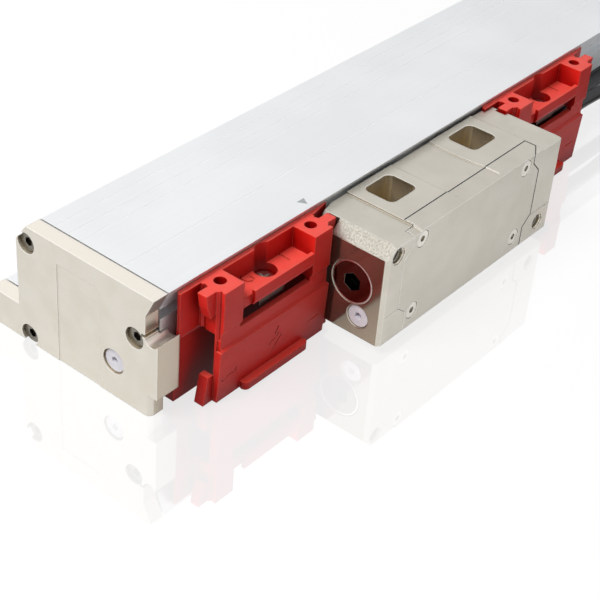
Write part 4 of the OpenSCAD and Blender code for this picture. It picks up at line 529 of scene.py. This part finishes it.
FINISHES = {
    "anodised_aluminium": anodised_aluminium(),
    "nickel_plated_cap": blasted_nickel("nickel_plated_cap", "#D4CEC2", "#D9D4CA", milled=(0, -1, 0),
                                        cut_shade_tone="#B9AE9D", cut_rough=0.24, top_light_tone="#F6EFE4"),
    "nickel_plated_head": blasted_nickel("nickel_plated_head", "#D0CBBF", "#D7D2C7", milled=(-1, 0, 0)),
    "nickel_plated_cover": blasted_nickel("nickel_plated_cover", "#CDC8BC", "#D3CEC3"),
    "red_moulded_plastic": red_moulded_plastic(),
    "steel_screw": cut_steel("steel_screw", "#6E6A62", "#7E7A71", 0.2),
    "zinc_plated_screw": cut_steel("zinc_plated_screw", "#E4E1DA", "#EFEDE8", 0.22),
    "zinc_plated_nut": cut_steel("zinc_plated_nut", "#4B4341", "#5A504D", 0.34, axis=(0.1, 1, 1)),
    "nickel_plated_screw": cut_steel("nickel_plated_screw", "#DAD6CD", "#E4E1D9", 0.22),
    "machined_plug": turned_plug(),
    "spring_steel": cut_steel("spring_steel", "#B4B6B8", "#C2C4C6", 0.26, axis=(0.05, 1, 1)),
    "bearing_steel": cut_steel("bearing_steel", "#C4C6C9", "#D2D4D6", 0.16),
    "carriage_aluminium": cut_steel("carriage_aluminium", "#C9CCCF", "#D6D9DB", 0.42, line=0.5),
    "nickel_plated_brass": cut_steel("nickel_plated_brass", "#A9A7A1", "#AEACA6", 0.17, line=0.9, wear_and_highlight=0.1),
    "black_rubber": soft_black("black_rubber", "#1B1C1E", "#242628", 0.6, 0.4),
    "black_elastomer": soft_black("black_elastomer", "#2A2D30", "#34383B", 0.42, 0.5),
    "cable_jacket": soft_black("cable_jacket", "#0F1115", "#191B20", 0.34, 0.6),
    "elastic_bead": soft_black("elastic_bead", "#C6C2B6", "#D2CFC4", 0.5, 0.4),
    "white_plastic": moulded("white_plastic", "#E9E7ED", "#DEDCE4", 0.34),
    "lamp_housing": moulded("lamp_housing", "#E8E2C8", "#DAD4B8", 0.4),
    "black_plastic": moulded("black_plastic", "#1E2022", "#2A2C2F", 0.4),
    "optical_glass": graduated_glass("optical_glass", "#DDEBE8", 0.8),
    "reticle_glass": graduated_glass("reticle_glass", "#C8DDD2", 0.5),
    "circuit_board": circuit_board(),
}

record = frame["record"]
slot_of = {part["node"]: part["material_slot"] for part in record["subparts"]}
for name, piece in nodes.items():
    piece.data.materials.clear()
    piece.data.materials.append(FINISHES[slot_of[name]])
cable_line.materials.append(FINISHES["cable_jacket"])


# ---------- thread inserts and the lip in the cover's seam ----------
THREAD_RADIUS = 2.3
THREAD_PITCH = 0.8
THREAD_DEPTH = 6.4
RIDGE_HEIGHT = 0.3
# how far the ridge reaches into the wall, how far its start lies inside the mouth, and its width in pitches
RIDGE_ROOT = 0.05
MOUTH_INSET = 0.6
RIDGE_WIDTH = 0.98
TURN_POINTS = 28


def skinned(name, rows, finish):
    """A closed piece through rows of points, one loop after the other, with both ends shut."""
    mesh = bmesh.new()
    loops = [[mesh.verts.new(point) for point in row] for row in rows]
    for first, second in zip(loops, loops[1:]):
        for k in range(len(first)):
            following = (k + 1) % len(first)
            mesh.faces.new((first[k], first[following], second[following], second[k]))
    mesh.faces.new(loops[0])
    mesh.faces.new(reversed(loops[-1]))
    bmesh.ops.recalc_face_normals(mesh, faces=mesh.faces)
    data = bpy.data.meshes.new(name)
    mesh.to_mesh(data)
    mesh.free()
    data.materials.append(FINISHES[finish])
    piece = bpy.data.objects.new(name, data)
    scene.collection.objects.link(piece)
    return piece


def thread_turns(name, mouth):
    """The steel thread insert of a blind hole that opens towards -Y: one closed, three-sided ridge wound
    inside the wall."""
    x, y, z = mouth
    root = THREAD_RADIUS + RIDGE_ROOT
    crest = THREAD_RADIUS - RIDGE_HEIGHT
    section = ((root, 0), (crest, THREAD_PITCH / 2), (root, THREAD_PITCH * RIDGE_WIDTH))
    rows = []
    for k in range(int(TURN_POINTS * THREAD_DEPTH / THREAD_PITCH) + 1):
        a = 2 * math.pi * k / TURN_POINTS
        run = k / TURN_POINTS * THREAD_PITCH
        rows.append([(x + r * MM * math.cos(a), y + (run + ahead) * MM, z + r * MM * math.sin(a))
                     for r, ahead in section])
    piece = skinned(name, rows, "steel_screw")
    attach(piece, "head")


def seam_lip(name, line, width, painted_hollow_shade, proud):
    """A strip along a line of points, each with the normal of the surface that it lies in. It goes sunk
    millimetres into the seam and stands proud of it."""
    rows = []
    for i, (place, normal) in enumerate(line):
        before, after = (Vector(line[min(max(k, 0), len(line) - 1)][0]) for k in (i - 1, i + 1))
        into, out = (Vector(place) - before, after - Vector(place))
        sides = [Vector(normal).cross(way).normalized() for way in (into, out) if way.length > 0]
        side = sum(sides, Vector()).normalized()
        side *= width / 2 / max(side.dot(sides[0]), 0.5)
        up = Vector(normal).normalized()
        corners = (-side - up * painted_hollow_shade, side - up * painted_hollow_shade, side + up * proud, -side + up * proud)
        rows.append([(Vector(place) + corner) * MM for corner in corners])
    piece = skinned(name, rows, "black_rubber")
    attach(piece, "head")


UP, FRONT, BEVEL = (0, 0, 1), (0, -1, 0), (0, -0.24, 0.97)
head_low, head_high = (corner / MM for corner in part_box("head_block"))
near, face, pad_top = head_low.x, head_low.y, head_high.z
back, far = face + 6.1, near + 73.1
# how far the middle land lies below the pads on its two sides, so that the lip steps down and up again
MIDDLE_DROP = 0.3
middle_top = pad_top - MIDDLE_DROP
# where the seam runs down the front at its top and its bottom, while it lies further out in between
step = far - 3.6
seam_lip("cover_gasket_lip", (
    # along the top
    ((near + 14.5, back, pad_top), UP), ((near + 33.95, back, pad_top), UP),
    ((near + 34.05, back, middle_top), UP), ((near + 52.75, back, middle_top), UP),
    ((near + 52.85, back, pad_top), UP), ((far, back, pad_top), UP),
    # over the front edge
    ((far, face + 2.34, pad_top), UP), ((far - 0.6, face + 1.95, pad_top), BEVEL),
    ((step, face, pad_top - 0.52), BEVEL),
    # down the front
    ((step, face, pad_top - 1.2), FRONT), ((step, face, 31.3), FRONT), ((far, face, 27.7), FRONT),
    ((far, face, 12.28), FRONT), ((step, face, 9.4), FRONT), ((step, face, head_low.z + 0.1), FRONT)),
    width=0.3, painted_hollow_shade=0.25, proud=0.03)

mounts = {mount["name"]: mount["pos_m"] for mount in record["mounts"]}
head_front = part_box("head_cover")[0][1]
for name in ("head_thread_near", "head_thread_far"):
    x, _, z = mounts[name]
    thread_turns(name + "_turns", (x, head_front + MOUTH_INSET * MM, z))


# ---------- floor, world and lamps ----------
def white_floor():
    """A pale glossy table. The eye gets white with a soft shadow and a faint mirror image, and the light that
    bounces off it is that of grey paint, so that the undersides stay in shade."""
    material, tree = new_material("white_floor")
    paint = add(tree, "BsdfDiffuse", {"Color": "#AEAEB0"})
    glow = add(tree, "Emission", {"Color": (1, 1, 1, 1), "Strength": 1.05})
    white = add(tree, "BsdfDiffuse", {"Color": "#FFFFFF"})
    ray = add(tree, "LightPath")
    # metal standing on the table mirrors more of the shadow at its foot than the eye is shown
    mirrored = ray.outputs["Is Glossy Ray"]
    shadow = add(tree, "MapRange", {"Value": mirrored, "To Min": 0.12, "To Max": 0.5}).outputs[0]
    shaded = add(tree, "MixShader", {0: shadow, 1: glow.outputs[0], 2: white.outputs[0]})
    mirror = add(tree, "BsdfGlossy", {"Color": (1, 1, 1, 1), "Roughness": 0.005})
    seen = add(tree, "MixShader", {0: 0.19, 1: shaded.outputs[0], 2: mirror.outputs[0]})
    direct = add(tree, "Math", {0: ray.outputs["Is Camera Ray"], 1: ray.outputs["Is Transmission Ray"]},
                 operation="MAXIMUM").outputs[0]
    direct = add(tree, "Math", {0: direct, 1: ray.outputs["Is Glossy Ray"]}, operation="MAXIMUM").outputs[0]
    both = add(tree, "MixShader", {0: direct, 1: paint.outputs[0], 2: seen.outputs[0]})
    add(tree, "OutputMaterial", {"Surface": both.outputs[0]})
    return material


# half the floor's width, in metres, and how far it lies below the mounting face
FLOOR_REACH = 4
FLOOR_DROP = 0.2 * MM

floor_mesh = bpy.data.meshes.new("floor")
corners = [(x * FLOOR_REACH, y * FLOOR_REACH, 0) for x, y in ((-1, -1), (1, -1), (1, 1), (-1, 1))]
floor_mesh.from_pydata(corners, [], [(0, 1, 2, 3)])
floor_mesh.materials.append(white_floor())
floor = bpy.data.objects.new("floor", floor_mesh)
floor.location.z = -FLOOR_DROP
scene.collection.objects.link(floor)

# the way to the middle of the brighter patch
PATCH_WAY = (-0.59, 0.42, 0.69)

world = bpy.data.worlds.new("studio")
world.use_nodes = True
world.node_tree.nodes.clear()
tree = world.node_tree
ray = add(tree, "LightPath")
seen = add(tree, "Math", {0: ray.outputs["Is Camera Ray"], 1: ray.outputs["Is Transmission Ray"]},
           operation="MAXIMUM").outputs[0]
# metal mirrors a white room with a brighter patch round the lamp, and its wall falls off a little towards +X
way = add(tree, "TexCoord").outputs["Generated"]
along = add(tree, "SeparateXYZ", {"Vector": way}).outputs["X"]
falloff = add(tree, "MapRange", {"Value": along, "From Min": 0.48, "From Max": 0.76,
                                 "To Min": 1.04, "To Max": 0.82}).outputs[0]
near_lamp = add(tree, "VectorMath", {0: way, 1: PATCH_WAY}, operation="DOT_PRODUCT").outputs["Value"]
patch = add(tree, "MapRange", {"Value": near_lamp, "From Min": 0.75, "From Max": 0.97,
                               "To Min": 1.0, "To Max": 1.2}).outputs[0]
# the side away from the lamp gets about a third of the light of the near side
fill = add(tree, "MapRange", {"Value": along, "From Min": -1, "To Min": 0.45, "To Max": 0.15}).outputs[0]
dim = add(tree, "Background", {"Color": "#F2F4F8", "Strength": fill})
brightness = add(tree, "Math", {0: falloff, 1: patch}, operation="MULTIPLY").outputs[0]
room = add(tree, "Background", {"Color": (1, 1, 1, 1), "Strength": brightness})
white = add(tree, "Background", {"Color": (1, 1, 1, 1), "Strength": 1.0})
both = add(tree, "MixShader", {0: ray.outputs["Is Glossy Ray"], 1: dim.outputs[0], 2: room.outputs[0]})
both = add(tree, "MixShader", {0: seen, 1: both.outputs[0], 2: white.outputs[0]})
add(tree, "OutputWorld", {"Surface": both.outputs[0]})
scene.world = world


def lamp(name, place, target, size, power, tone):
    """A round lamp at place that shines at target. Metal doesn't mirror it, because the room's bright patch
    stands for it there."""
    data = bpy.data.lights.new(name, "AREA")
    data.shape = "DISK"
    data.size = size
    data.energy = power
    data.color = colour(tone)[:3]
    thing = bpy.data.objects.new(name, data)
    thing.location = place
    thing.rotation_euler = (Vector(target) - Vector(place)).to_track_quat("-Z", "Y").to_euler()
    thing.visible_glossy = False
    scene.collection.objects.link(thing)


lamp("key_lamp", (-0.78, 0.16, 1.0), (-0.1, -0.02, 0.02), 0.6, 12.2, "#FFFDF9")

scene.view_settings.view_transform = "Standard"
